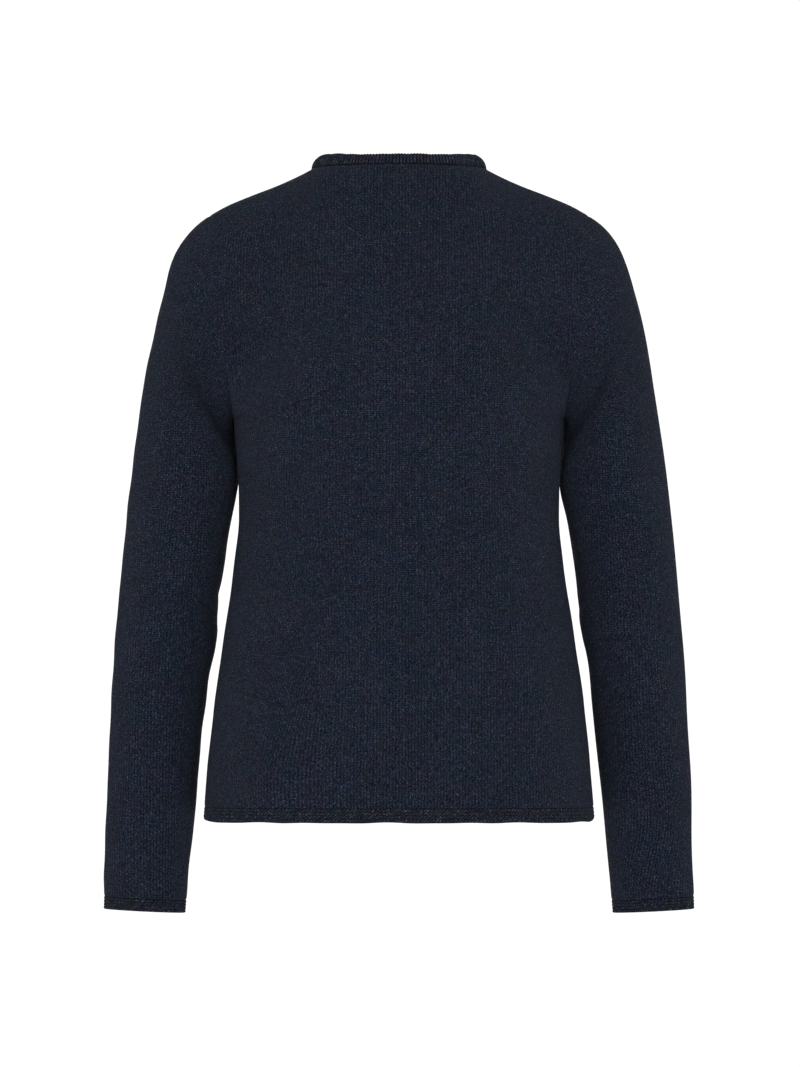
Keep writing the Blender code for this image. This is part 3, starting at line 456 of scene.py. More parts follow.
def turned_towards(vectors, others):
    """The vectors, turned round where they point away from the others."""
    return vectors * np.sign(np.sum(vectors * others, axis=1, keepdims=True))


def square_to(vectors, along):
    """The vectors, turned square to unit vectors along."""
    return unit(vectors - np.sum(vectors * along, axis=1, keepdims=True) * along)


def lengths_along(line):
    steps = np.linalg.norm(np.diff(line, axis=0), axis=-1)
    return np.concatenate([np.zeros_like(steps[:1]), np.cumsum(steps, axis=0)])


def lengths_across(points):
    return lengths_along(points.swapaxes(0, 1)).T


def at_lengths(line, wanted, lengths):
    """Values at wanted lengths along a line of points or vectors."""
    return np.stack([np.interp(wanted, lengths, line[:, k]) for k in range(line.shape[1])], axis=1)


def spread_evenly(points, count):
    lengths = lengths_along(points)
    return at_lengths(points, np.linspace(0.0, lengths[-1], count + 1), lengths)


# ---- Form of the body ----


def body_size(name, z):
    return smooth_column(BODY, BODY_COLUMNS, "z", name, z)


SHOULDER_X = SHOULDER[-1][0]
SHOULDER_Z = SHOULDER[-1][1]
SIDE_X = BODY[0][1]
NECK_SHARE = NECK_HALF_WIDTH / SHOULDER_X


def armhole_half_width(rise):
    return SIDE_X + (SHOULDER_X - SIDE_X) * rise


def shoulder_height(share):
    ridge = smooth_column(SHOULDER, SHOULDER_COLUMNS, "x", "z", share * SHOULDER_X)
    return np.where(share <= NECK_SHARE, 0.0, ridge)


def yoke_depth(side, share, rise):
    """How far the form stands out behind or in front of the shoulder seams, above the
    underarm, at a share of its width and a rise towards its top."""
    neck = np.clip(share / NECK_SHARE, 0.0, 1.0)
    reach = BACK_NECK_REACH if side == BACK else FRONT_NECK_REACH
    near_neck = ease((rise - NECK_ZONE) / (1 - NECK_ZONE))
    neck_curve = NECK_CURVE_LOW + (NECK_CURVE_HIGH - NECK_CURVE_LOW) * near_neck
    top = reach * (1 - neck**2) ** neck_curve
    fullness = BACK_FULLNESS if side == BACK else FRONT_FULLNESS
    rounding = 1.0 - SHOULDER_ROUNDING * ease(neck)
    low = 1 - ease(rise / ARMHOLE_ZONE)
    edge = 2 * ARMHOLE_HALF_DEPTH * np.sqrt(rise / (1 + rise)) * share ** (1 + EDGE_STEEPNESS * low)
    turn = 1.0 + (CHEST_SQUARENESS - 1.0) * (1 - ease(rise / CHEST_ZONE))
    across = np.clip(1 - share**CHEST_SQUARENESS, 0, None) ** (1 / turn)
    full = edge + (fullness - edge) * across
    share_of_full = np.clip(1 - rise**2, 0, None) ** rounding
    return top * (1 - share_of_full) + full * share_of_full


def yoke_points(side, share, rise):
    x = share * armhole_half_width(rise)
    z = UNDERARM_Z + (shoulder_height(share) - UNDERARM_Z) * rise
    return np.stack([x, side * yoke_depth(side, share, rise), z], axis=-1)


def level_row(side, z, start_x, faces):
    """Evenly spaced points along one level of the body, from start_x to the side seam."""
    half_width = body_size("half_width", z)
    depth = body_size("back" if side == BACK else "front", z)
    power = 2 / body_size("squareness", z)
    start = np.arcsin((start_x / half_width) ** (1 / power))
    angle = np.linspace(start, np.pi / 2, FINE)
    x = half_width * np.sin(angle) ** power
    y = depth * np.clip(np.cos(angle), 0, None) ** power
    y[-1] = 0.0
    return spread_evenly(np.stack([x, side * y, np.full(FINE, z)], axis=-1), faces)


def neck_edge_height(side, share):
    if side == BACK:
        return np.zeros_like(share)
    inside = np.clip(1 - (share / NECK_SHARE) ** 2, 0, None)
    return -FRONT_NECK_DROP * inside**NECK_ROUNDNESS


def neck_points(side, share):
    z = neck_edge_height(side, share)
    rise = 1 - z / UNDERARM_Z
    return np.stack([share * SHOULDER_X, side * yoke_depth(side, share, rise), z], axis=-1)


def spread_over(side, start_x):
    """Where a panel's columns lie between start_x (0) and the side (1): along the level
    of the underarm, and along the top edge, neck seam first and then shoulder seam."""
    low = level_row(side, UNDERARM_Z, start_x, PANEL_FACES)[:, 0]
    low = (low - start_x) / (SIDE_X - start_x)
    bend = np.sin(np.linspace(0, np.pi / 2, FINE))
    fine = (start_x + (NECK_HALF_WIDTH - start_x) * bend) / SHOULDER_X
    neck = spread_evenly(neck_points(side, fine), NECK_FACES)[:, 0]
    neck[-1] = NECK_HALF_WIDTH
    shoulder = np.linspace(NECK_HALF_WIDTH, SHOULDER_X, SHOULDER_FACES + 1)
    high = (np.concatenate([neck, shoulder[1:]]) - start_x) / (SHOULDER_X - start_x)
    return low, high


def half_panel(side, start_x):
    """Rows by columns of outer points, from the hem seam to the top edge and from
    start_x to the side seam and armhole, for the wearer's left half."""
    levels = np.linspace(HEM_Z + HEM_BAND, UNDERARM_Z, LOWER_ROWS + 1)
    rows = [level_row(side, z, start_x, PANEL_FACES) for z in levels]
    low, high = spread_over(side, start_x)
    rises = (1 - np.cos(np.linspace(0, np.pi, ARMHOLE_ROWS + 1))) / 2
    for rise in rises[1:]:
        half_width = armhole_half_width(rise)
        x = start_x + (low + (high - low) * rise) * (half_width - start_x)
        share = x / half_width
        share[-1] = 1.0
        on_neck = share < NECK_SHARE - TINY
        z_top = np.where(on_neck, neck_edge_height(side, share), shoulder_height(share))
        z = UNDERARM_Z + (z_top - UNDERARM_Z) * rise
        form_rise = (z - UNDERARM_Z) / (shoulder_height(share) - UNDERARM_Z)
        row = yoke_points(side, share, np.clip(form_rise, 0, 1))
        row[0, 0] = start_x
        rows.append(row)
    return np.array(rows)


def hem_lines(side, start_x):
    """The hem band's free edge and its seam."""
    return np.array([level_row(side, z, start_x, PANEL_FACES) for z in (HEM_Z, HEM_Z + HEM_BAND)])


def mirrored(grid):
    return grid * np.array([-1.0, 1.0, 1.0])


def turned_round(grid):
    return grid[:, ::-1]


def whole_back(half):
    return np.concatenate([turned_round(half), mirrored(half)[:, 1:]], axis=1)


# ---- Form of the sleeves ----


def sleeve_rings():
    """Rings of the left sleeve, armhole first, and the two ends of its cuff band.
    Columns run from the outer point over the back and the inner point to the front."""
    table = np.array(SLEEVE, float)
    place = np.arange(len(table), dtype=float)
    wanted = np.append(np.linspace(0, CUFF_RING, SLEEVE_ROWS + 1), place[-1])
    column = {
        name: smooth_curve(place, values, wanted) for name, values in zip(SLEEVE_COLUMNS, table.T)
    }
    outer = np.stack([column["outer_x"], column["outer_y"], column["outer_z"]], axis=1)
    inner = np.stack([column["inner_x"], column["inner_y"], column["inner_z"]], axis=1)
    middle = (outer + inner) / 2
    half = (outer - inner) / 2
    across = unit(np.cross(half, directions(middle)))
    across *= np.sign(across[:, 1:2])
    square = ease(wanted / SLEEVE_TURN) * ease((CUFF_RING - wanted) / SLEEVE_TURN)
    square = square[:, None]
    across = unit(np.cross(UP, RIGHT) * (1 - square) + across * square)
    towards_outer, towards_back = ring_outline(column["squareness"])
    rings = (
        middle[:, None]
        + half[:, None] * towards_outer[..., None]
        + (across * column["depth"][:, None])[:, None] * towards_back[..., None]
    )
    rings = clear_of_body(rings, BODY_CLEARANCE * ease(wanted))
    rings[0] = armhole_ring()
    return rings[:-1], rings[-2:]


def ring_outline(squareness):
    """Places on each ring as shares of its half width and half depth."""
    angle = ring_angles()[None, :]
    inner = np.cos(angle) < 0
    power = np.where(inner, 2 / squareness[:, None], 1.0)
    towards_outer = np.sign(np.cos(angle)) * np.abs(np.cos(angle)) ** power
    towards_back = np.sign(np.sin(angle)) * np.abs(np.sin(angle)) ** power
    return towards_outer, towards_back


def body_side_x(y, z):
    """The body's half width where its side stands y behind the side seams, or ahead of
    them where y is negative, at a height z. Minus infinity inside the armhole."""
    side = BACK if y >= 0 else FRONT
    if z <= UNDERARM_Z:
        power = body_size("squareness", z)
        depth = body_size("back" if side == BACK else "front", z)
        inside = max(1 - (abs(y) / depth) ** power, 0.0)
        return float(body_size("half_width", z) * inside ** (1 / power))
    share = np.linspace(1.0, 0.5, FINE)
    rise = np.clip((z - UNDERARM_Z) / (shoulder_height(share) - UNDERARM_Z), 0, 1)
    depth = np.maximum.accumulate(yoke_depth(side, share, rise))
    if not depth[0] < abs(y) < depth[-1]:
        return -np.inf
    return float(np.interp(abs(y), depth, share * armhole_half_width(rise)))


def clear_of_body(rings, clearance):
    """Moves a sleeve's points outward where they would lie in the body's side."""
    cleared = rings.copy()
    reach = SHOULDER_X + 2 * BODY_CLEARANCE
    for i, j in np.argwhere(rings[..., 0] < reach):
        x, y, z = rings[i, j]
        nearer = clearance[i] - (x - body_side_x(y, z))
        if nearer > -CONTACT_REACH:
            soft = CONTACT_SOFTNESS * clearance[i] / BODY_CLEARANCE
            cleared[i, j, 0] = x + (nearer + np.hypot(nearer, soft)) / 2
    return cleared


def ring_angles():
    return np.linspace(0, 2 * np.pi, 2 * ARMHOLE_ROWS, endpoint=False)


def armhole_ring():
    angle = ring_angles()
    rise = (1 + np.cos(angle)) / 2
    z = UNDERARM_Z + (SHOULDER_Z - UNDERARM_Z) * rise
    depth = ARMHOLE_HALF_DEPTH * np.sin(angle)
    return np.stack([armhole_half_width(rise), depth, z], axis=-1)


# ---- Grids of points ----


class Grid:
    """A panel's outer points, rows from low to high. Seen from outside, columns run to
    the right. A closed grid is a tube whose last column meets its first. Normals point
    outward, and through is the way from the inner skin to the outer one."""

    def __init__(self, name, points, closed=False):
        self.name = name
        self.points = np.array(points, float)
        self.closed = closed
        self.normals = self.own_normals()
        self.through = self.normals.copy()

    def wrapped(self, array):
        """An array over the grid, with a tube's first column again at its end."""
        return np.concatenate([array, array[:, :1]], axis=1) if self.closed else array

    def own_normals(self):
        points = self.wrapped(self.points)
        a, b = points[:-1, :-1], points[:-1, 1:]
        c, d = points[1:, 1:], points[1:, :-1]
        face = np.cross(c - a, d - b)
        total = np.zeros_like(points)
        low, high = slice(0, -1), slice(1, None)
        for rows, columns in ((low, low), (low, high), (high, high), (high, low)):
            total[rows, columns] += face
        if self.closed:
            total[:, 0] += total[:, -1]
            total = total[:, :-1]
        return unit(total)

    def border(self):
        """Places of the points on the grid's seams and edges."""
        rows, columns = self.points.shape[:2]
        for i in range(rows):
            if i in (0, rows - 1):
                yield from ((i, j) for j in range(columns))
            elif not self.closed:
                yield i, 0
                yield i, columns - 1


def share_normals(grids):
    """Averages the normals of points that lie on each other in neighbouring grids. Round
    a tube's end they lean away from its middle as well."""
    found = {}
    for grid in grids:
        for i, j in grid.border():
            key = tuple(np.round(grid.points[i, j] * POINT_KEY).astype(int))
            found.setdefault(key, []).append((grid, i, j))
    for places in found.values():
        if len(places) < 2:
            continue
        total = sum(grid.normals[i, j] for grid, i, j in places)
        for grid, i, j in places:
            if grid.closed:
                ring = grid.points[i]
                along = unit(ring[(j + 1) % len(ring)] - ring[j - 1])
                total = total + RING_LEAN * unit(ring[j] - ring.mean(axis=0))
                total = total - np.dot(total, along) * along
        shared = unit(total)
        for grid, i, j in places:
            own = grid.normals[i, j].copy()
            folded = 2 * (1 - np.dot(own, shared))
            grid.through[i, j] = unit(shared + folded * own)
            grid.normals[i, j] = shared


def settle_normals(grid):
    """Eases the turned normals of a grid's border into those of its inside."""
    for vectors in (grid.normals, grid.through):
        for _ in range(SETTLING_ROUNDS):
            inside = vectors[1:-1]
            above, below = vectors[2:], vectors[:-2]
            if grid.closed:
                beside = np.roll(inside, 1, axis=1) + np.roll(inside, -1, axis=1)
                vectors[1:-1] = unit(above + below + beside + OWN_WEIGHT * inside)
            else:
                beside = inside[:, 2:] + inside[:, :-2]
                mean = above[:, 1:-1] + below[:, 1:-1] + beside + OWN_WEIGHT * inside[:, 1:-1]
                vectors[1:-1, 1:-1] = unit(mean)


def square_edge(grid, column):
    """Turns the normals of a front edge level with the opening, so its wall ends flat."""
    grid.normals[:, column, 0] = 0.0
    grid.normals[:, column] = unit(grid.normals[:, column])
    grid.through[:, column] = grid.normals[:, column]


def draw_back(grid):
    """Moves a grid's sides away from their seams, square to the mitre."""
    shift = np.zeros_like(grid.points)
    sides = [(np.s_[0, :], 1), (np.s_[-1, :], -1)]
    if not grid.closed:
        sides += [(np.s_[:, 0], -1), (np.s_[:, -1], 1)]
    for place, way in sides:
        line = grid.points[place]
        if grid.closed:
            tangent = np.roll(line, -1, axis=0) - np.roll(line, 1, axis=0)
        else:
            tangent = np.gradient(line, axis=0)
        shift[place] += way * unit(np.cross(grid.normals[place], unit(tangent)))
    grid.points = grid.points + shift * SEAM_SHIFT


def add_seam_lines(array):
    """Two more lines beside the first and the last line of an array."""
    first = [array[0] + share * (array[1] - array[0]) for share in SEAM_SHARES]
    last = [array[-1] + share * (array[-2] - array[-1]) for share in SEAM_SHARES[::-1]]
    return np.concatenate([array[:1], first, array[1:-1], last, array[-1:]])


def refine_seams(grid):
    for name in ("points", "normals", "through"):
        array = add_seam_lines(getattr(grid, name))
        if not grid.closed:
            array = add_seam_lines(array.swapaxes(0, 1)).swapaxes(0, 1)
        setattr(grid, name, array)


def seam_distance(grid):
    """Distance of each point from the nearest seam, along the grid's lines."""
    up = lengths_along(grid.points)
    away = np.minimum(up, up[-1] - up)
    if not grid.closed:
        over = lengths_across(grid.points)
        away = np.minimum(away, np.minimum(over, over[:, -1:] - over))
    return away


# ---- Relief of the panels ----


def past(grid, place):
    """Distance of each point past a place: an x on a panel, an angle on a sleeve."""
    if not grid.closed:
        return grid.points[..., 0] - place
    girth = lengths_across(grid.points)[:, -1:]
    away = np.degrees(grid.angles)[None, :] - place
    return ((away + 180) % 360 - 180) / 360 * girth


def named_rows(table, columns, grid):
    return [dict(zip(columns, row)) for row in table.get(grid.name, ())]


def crease_height(grid):
    height = np.zeros(grid.points.shape[:2])
    for fold in named_rows(FOLDS, FOLD_COLUMNS, grid):
        turn = np.radians(fold["turn"])
        x, z = past(grid, fold["x"]), grid.points[..., 2] - fold["z"]
        along = (x * np.cos(turn) + z * np.sin(turn)) / fold["length"]
        beside = (z * np.cos(turn) - x * np.sin(turn)) / fold["width"]
        height += fold["depth"] * np.exp(-(along**4) - beside**2)
    return height


def wave_height(grid, random):
    """Soft unevenness of worn knit, the same on every run."""
    height = np.zeros(grid.points.shape[:2])
    for _ in range(WAVES):
        direction = unit(random.normal(size=3))
        length = random.uniform(*WAVE_LENGTHS)
        phase = random.uniform(0, 2 * np.pi)
        height += np.cos(grid.points @ direction * 2 * np.pi / length + phase)
    return height * WAVE_HEIGHT


def add_relief(grid, random):
    away = seam_distance(grid)
    height = (crease_height(grid) + wave_height(grid, random)) * ease(away / FOLD_FADE)
    height -= SEAM_DIP * np.exp(-((away / SEAM_DIP_WIDTH) ** 2))
    grid.surface = grid.points + height[..., None] * grid.normals


def dragged(grid):
    """How far the stitches are dragged to the right and up at each point."""
    over = np.zeros(grid.points.shape[:2])
    up = over.copy()
    if grid.closed:
        way = np.sign(grid.angles[1])
    else:
        way = -1 if grid.name == "back" else 1
    for drag in named_rows(DRAGS, DRAG_COLUMNS, grid):
        right = way * past(grid, drag["x"])
        rise = grid.points[..., 2] - drag["z"]
        near = np.exp(-((right / drag["width"]) ** 2) - (rise / drag["height"]) ** 2)
        over += np.tan(np.radians(drag["wales"])) * rise * near
        up += np.tan(np.radians(drag["courses"])) * right * near
    return over, up


# ---- Meshes ----


def add_mesh(name, points, faces, places, materials, inside):
    """An object made of faces, each a row of point numbers, with the stitch places of
    each face's corners as its UV map. Faces marked inside take the second material."""
    data = bpy.data.meshes.new(name)
    corners = np.concatenate([np.asarray(face, np.int32) for face in faces])
    ends = np.cumsum([len(face) for face in faces])
    starts = np.concatenate([[0], ends[:-1]])
    data.vertices.add(len(points))
    data.vertices.foreach_set("co", np.asarray(points, np.float32).ravel())
    data.loops.add(len(corners))
    data.loops.foreach_set("vertex_index", corners)
    data.polygons.add(len(faces))
    data.polygons.foreach_set("loop_start", starts.astype(np.int32))
    data.uv_layers.new(name="stitches").uv.foreach_set(
        "vector", np.concatenate(places).astype(np.float32).ravel()
    )
    for material in materials:
        data.materials.append(material)
    data.polygons.foreach_set("material_index", np.asarray(inside, np.int32))
    data.update(calc_edges=True)
    data.shade_smooth()
    data.set_sharp_from_angle(angle=np.radians(SHARP_ANGLE))
    return add_object(name, data)


def add_object(name, data):
    made = bpy.data.objects.new(name, data)
    bpy.context.scene.collection.objects.link(made)
    return made


def declare(piece, node):
    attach(piece, "root")
    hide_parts(node)


def add_wall(name, rings, left_spots, right_spots, closed, skin, materials, facing, caps):
    """A closed wall, swept over the columns of its rings of points. Each ring runs along
    the outer skin and over the edge, in as many faces as skin says, and back along the
    inner skin. A wall that isn't a tube has caps at both ends, each of whose faces is a
    row of places in the ring."""
    number = np.arange(rings[..., 0].size).reshape(rings.shape[:2])
    right = np.roll(number, -1, axis=1)
    left, right = (number, right) if closed else (number[:, :-1], right[:, :-1])
    quads, spots = (
        np.stack([a, np.roll(a, -1, axis=0), np.roll(b, -1, axis=0), b], axis=2)
        for a, b in ((left, right), (left_spots, right_spots))
    )
    across = np.cross(rings[1, 0] - rings[0, 0], rings[0, 1] - rings[0, 0])
    way = 1 if np.dot(across, facing) > 0 else -1
    if way < 0:
        quads, spots = quads[:, :, TURNED], spots[:, :, TURNED]
    inside = np.zeros(quads.shape[:2], int)
    inside[skin:-1] = 1
    faces, places, marks = list(quads.reshape(-1, 4)), [spots.reshape(-1, 2)], list(inside.ravel())
    if not closed:
        for column, end_spots, end_way in ((0, left_spots, -way), (-1, right_spots, way)):
            faces += [number[cap[::end_way], column] for cap in np.array(caps)]
            places += [end_spots[cap[::end_way], column] for cap in np.array(caps)]
            marks += [0] * len(caps)
    return add_mesh(name, rings.reshape(-1, 3), faces, places, materials, marks)


def stitch_places(grid, middle, wale, course):
    """Places in wales and courses at the left and right corners of each column of faces.
    Wales are counted from the middle column; on a tube they meet half way round."""
    shift, lift = dragged(grid)
    up = grid.wrapped((lengths_along(grid.points) - lift) / course)
    over = lengths_across(grid.wrapped(grid.points))
    moved = over - grid.wrapped(shift)
    left, right = moved[:, :-1].copy(), moved[:, 1:].copy()
    if grid.closed:
        half = left.shape[1] // 2
        left[:, half:] -= over[:, -1:]
        right[:, half:] -= over[:, -1:]
    else:
        left -= over[:, middle : middle + 1]
        right -= over[:, middle : middle + 1]
    return (
        np.stack([left / wale, up[:, :-1]], axis=-1),
        np.stack([right / wale, up[:, 1:]], axis=-1),
    )


def add_panel(grid, left_spots, right_spots, materials):
    """A panel as a closed wall between its uneven outer skin and a plain inner skin."""
    inner = grid.surface - WALL * grid.through
    rings, left_spots, right_spots = (
        np.concatenate([out, back[::-1]])
        for out, back in ((grid.surface, inner), (left_spots,) * 2, (right_spots,) * 2)
    )
    rows = len(inner)
    caps = [(k, k + 1, 2 * rows - 2 - k, 2 * rows - 1 - k) for k in range(rows - 1)]
    facing = grid.normals[0, 0]
    return add_wall(
        f"{grid.name}_knit", rings, left_spots, right_spots, grid.closed, rows, materials, facing, caps
    )


class Band:
    """A knitted band between a seam and a free edge, swept along them as a wall with a
    rounded edge. start and end are lines of points, normals face outward."""

    def __init__(self, start, end, normals, closed=False):
        if closed:
            start, end, normals = (np.concatenate([a, a[:1]]) for a in (start, end, normals))
        self.start, self.end, self.normals, self.closed = start, end, normals, closed
        self.lengths = lengths_along((start + end) / 2)
        self.lean = 0.0

    def resample(self, pitch, steps):
        """Points at even steps, with a whole number of steps to each stitch."""
        stitches = round(self.lengths[-1] / pitch)
        self.along = np.linspace(0, self.lengths[-1], stitches * steps + 1)
        self.pitch = self.lengths[-1] / stitches
        self.start, self.end, self.normals = (
            at_lengths(a, self.along, self.lengths) for a in (self.start, self.end, self.normals)
        )
        self.down = self.end - self.start
        self.width = np.linalg.norm(self.down, axis=1)
        self.down = unit(self.down)
        self.normals = square_to(self.normals, self.down)

    def build(self, node, rows, relief, row_size, materials, level=None, trim=0.0):
        """Makes the piece that replaces a node. relief gives heights from lengths along
        and down the band. level lifts the band as a whole, by the length down it. trim
        draws back the seam."""
        edge = WALL / 2
        width = self.width[None, :]
        share = np.linspace(0, 1, rows + 1)[:, None]
        outer = trim + share * (width - edge - trim)
        turn = np.radians(np.linspace(90, -90, ROLL_STEPS + 2))[1:-1, None]
        roll = width - edge + edge * np.cos(turn)
        inner = trim + np.linspace(1, 0, INSIDE_STEPS + 1)[:, None] * (width - edge - trim)
        out_height = relief(self.along[None, :] - self.lean * outer, outer)
        last = out_height[-1:]
        roll_height = -edge + (edge + last) * np.clip(np.sin(turn), 0, None)
        roll_height += edge * np.clip(np.sin(turn), None, 0)
        away = np.concatenate([outer, roll, inner])
        height = np.concatenate([out_height, roll_height, np.full(inner.shape, -WALL)])
        if level is not None:
            height = height + level(away)
        points = (
            self.start[None] + self.down[None] * away[..., None] + self.normals[None] * height[..., None]
        )
        place = (self.along - self.lean * away) / self.pitch
        spots = np.stack([place, away / row_size], axis=-1)
        if self.closed:
            points = points[:, :-1]
        piece = add_wall(
            f"{node}_knit", points, spots[:, :-1], spots[:, 1:], self.closed,
            rows + 1 + ROLL_STEPS, materials, self.normals[0], [range(len(points))],
        )
        length, width = self.lengths[-1], np.mean(self.width)
        declare(piece, node)


def rib_relief(pitch):
    def height(along, down):
        crest = (0.5 + 0.5 * np.cos(2 * np.pi * along / pitch)) ** RIB_FULLNESS
        ribs = -RIB_DEPTH * (1 - crest) * ease((down + RIB_HEAD_START) / RIB_RISE)
        return ribs - SEAM_DIP * np.exp(-((down / SEAM_DIP_WIDTH) ** 2))
    return height


def moss_relief(pitch, row):
    """Leaning stitches in rows."""
    def height(along, down):
        number = np.floor(down / row)
        rise = down / row - number
        place = along / pitch + MOSS_LEAN * rise
        across = np.cos(np.pi * (place - np.round(place)))
        return MOSS_HEIGHT * (across * np.clip(np.sin(np.pi * rise), 0, 1) ** MOSS_FULLNESS - 1.0)
    return height


def hem_waves(along):
    return sum(high * np.sin(2 * np.pi * along / long + phase) for long, high, phase in HEM_WAVES)


# ---- Material nodes ----


def feed(slot, value):
    """Links a value to a node's input where another node makes it, or else sets it."""
    if isinstance(value, Number):
        value = value.socket
    if isinstance(value, bpy.types.NodeSocket):
        value.id_data.links.new(value, slot)
    else:
        slot.default_value = value


def sum_of(operation):
    return lambda number, *others: number.math(operation, *others)


class Number:
    """A node's value that can be used in sums."""

    def __init__(self, socket):
        self.socket = socket
        self.nodes = socket.id_data.nodes

    def math(self, operation, *others):
        node = self.nodes.new("ShaderNodeMath")
        node.operation = operation
        for slot, value in zip(node.inputs, (self, *others)):
            feed(slot, value)
        return Number(node.outputs[0])

    __add__ = sum_of("ADD")
    __sub__ = sum_of("SUBTRACT")
    __mul__ = sum_of("MULTIPLY")
    __pow__ = sum_of("POWER")
    __abs__ = sum_of("ABSOLUTE")
    floor = sum_of("FLOOR")
    fract = sum_of("FRACT")
    sine = sum_of("SINE")
    cosine = sum_of("COSINE")

    def rest(self):
        """What this value lacks to one."""
        return self.math("MULTIPLY_ADD", -1.0, 1.0)

    def ramp(self, low, high, to_low=0.0, to_high=1.0):
        """This value's place from low to high, eased, as a value from to_low to to_high."""
        node = self.nodes.new("ShaderNodeMapRange")
        node.interpolation_type = "SMOOTHSTEP"
        for slot, value in zip(node.inputs, (self, low, high, to_low, to_high)):
            feed(slot, value)
        return Number(node.outputs["Result"])


class Shader:
    """A new material and short calls that add nodes to it."""

    def __init__(self, name):
        self.material = bpy.data.materials.new(name)
        self.material.use_nodes = True
        self.tree = self.material.node_tree
        self.surface = self.tree.nodes["Principled BSDF"]
        self.coordinates = self.tree.nodes.new("ShaderNodeTexCoord")

    def new(self, kind, **inputs):
        return self.dress(self.tree.nodes.new(kind), **inputs)

    def dress(self, node, **inputs):
        """Gives a node's inputs their values."""
        for name, value in inputs.items():
            feed(node.inputs[name.replace("_", " ")], value)
        return node

    def parts(self, name):
        """The three numbers of a place."""
        node = self.new("ShaderNodeSeparateXYZ", Vector=self.coordinates.outputs[name])
        return [Number(socket) for socket in node.outputs]

    def vector(self, x, y, z):
        return self.new("ShaderNodeCombineXYZ", X=x, Y=y, Z=z).outputs[0]

    def noise(self, scale, vector=None, detail=2.0, roughness=0.5):
        vector = vector or self.coordinates.outputs["Object"]
        node = self.new(
            "ShaderNodeTexNoise", Vector=vector, Scale=scale, Detail=detail, Roughness=roughness
        )
        return Number(node.outputs["Fac"])

    def random(self, *values):
        """A number from 0 to 1 for each set of whole values. The last value sets one
        use of it apart from another."""
        node = self.new("ShaderNodeTexWhiteNoise")
        node.noise_dimensions = "3D"
        feed(node.inputs["Vector"], self.vector(*values))
        return Number(node.outputs["Value"])

    def mix(self, share, a, b, kind="MIX"):
        node = self.new("ShaderNodeMix")
        node.data_type = "RGBA"
        node.blend_type = kind
        for slot, value in ((0, share), (6, a), (7, b)):
            feed(node.inputs[slot], value)
        return node.outputs[2]

    def bump(self, height, distance, normal=None):
        node = self.new("ShaderNodeBump", Height=height, Distance=distance, Strength=1.0)
        if normal:
            feed(node.inputs["Normal"], normal)
        return node.outputs["Normal"]


def shading(place, share):
    """Light at whole places, dark half way between them, and 1 on average."""
    return (place * (2 * np.pi)).cosine() * (share * 0.5) + 1.0


def plain_knit(shader, u, v):
    """A stitch's two legs. They dip a little where they meet in a wale's middle, and
    most in the holes between wales. Every pattern gives the height of its stitches, a
    number for each leg or loop, and the share of light that reaches it."""
    leg = abs(u.fract() - 0.5)
    course = v - leg * LEG_RISE
    across = (leg * (1.5 * np.pi) + 0.25 * np.pi).sine() ** LEG_ROUNDNESS
    gap = ((course.fract() * np.pi).sine() ** GAP_ROUNDNESS).rest()
    meeting = abs((leg * (2 * np.pi)).cosine())
    height = across * (gap * (meeting * MEETING_DIP + (1 - MEETING_DIP))).rest()
    rise = shader.parts("Object")[2]
    wales = shading(leg, rise.ramp(LOW_Z, HIGH_Z, LOW_WALE_SHADE, WALE_SHADE))
    courses = shading(v - leg * 0.6 + 0.5, rise.ramp(LOW_Z, HIGH_Z, LOW_COURSE_SHADE, COURSE_SHADE))
    number = shader.random((u * 2.0).floor(), course.floor(), 0.0)
    return height, number, wales * courses * height.ramp(*PLAIN_LIGHT)


def purl_knit(shader, u, v):
    """The inside of plain knit: wavy ridges across."""
    wave = v + (u * (2 * np.pi)).sine() * PURL_WAVE
    height = (wave.fract() * np.pi).sine() ** PURL_ROUNDNESS
    number = shader.random((u * 2.0).floor(), wave.floor(), 1.0)
    return height, number, height.ramp(*PURL_LIGHT)


def rib_knit(shader, u, v):
    """Plain wales standing out between purl ones: the ribs' own relief gives the form."""
    crest = abs(u.fract() - 0.5) * 2.0
    chain = v + crest * CHAIN_RISE
    along = (chain.fract() * np.pi).sine() ** CHAIN_ROUNDNESS
    number = shader.random((u + 0.5).floor(), chain.floor(), 3.0)
    height = crest * (along * CHAIN_DEPTH + (1 - CHAIN_DEPTH))
    # Painted shadow along the seam: the rows beside it are darkened in the colour.
    seam = v.ramp(*RIB_SEAM_LIGHT)
    return height, number, height.ramp(*RIB_LIGHT) * seam


def moss_knit(shader, u, v):
    """The stitches whose height is in the bands' own relief."""
    row = v.floor()
    rise = v - row
    place = u + rise * MOSS_LEAN + 0.5
    across = abs((place.fract() - 0.5) * np.pi).cosine()
    along = (rise * np.pi).sine() ** MOSS_FULLNESS
    height = across * along
    # Painted shadow along the seam: the rows beside it are darkened in the colour.
    seam = v.ramp(*MOSS_SEAM_LIGHT)
    return height, shader.random(place.floor(), row, 2.0), height.ramp(*MOSS_LIGHT) * seam


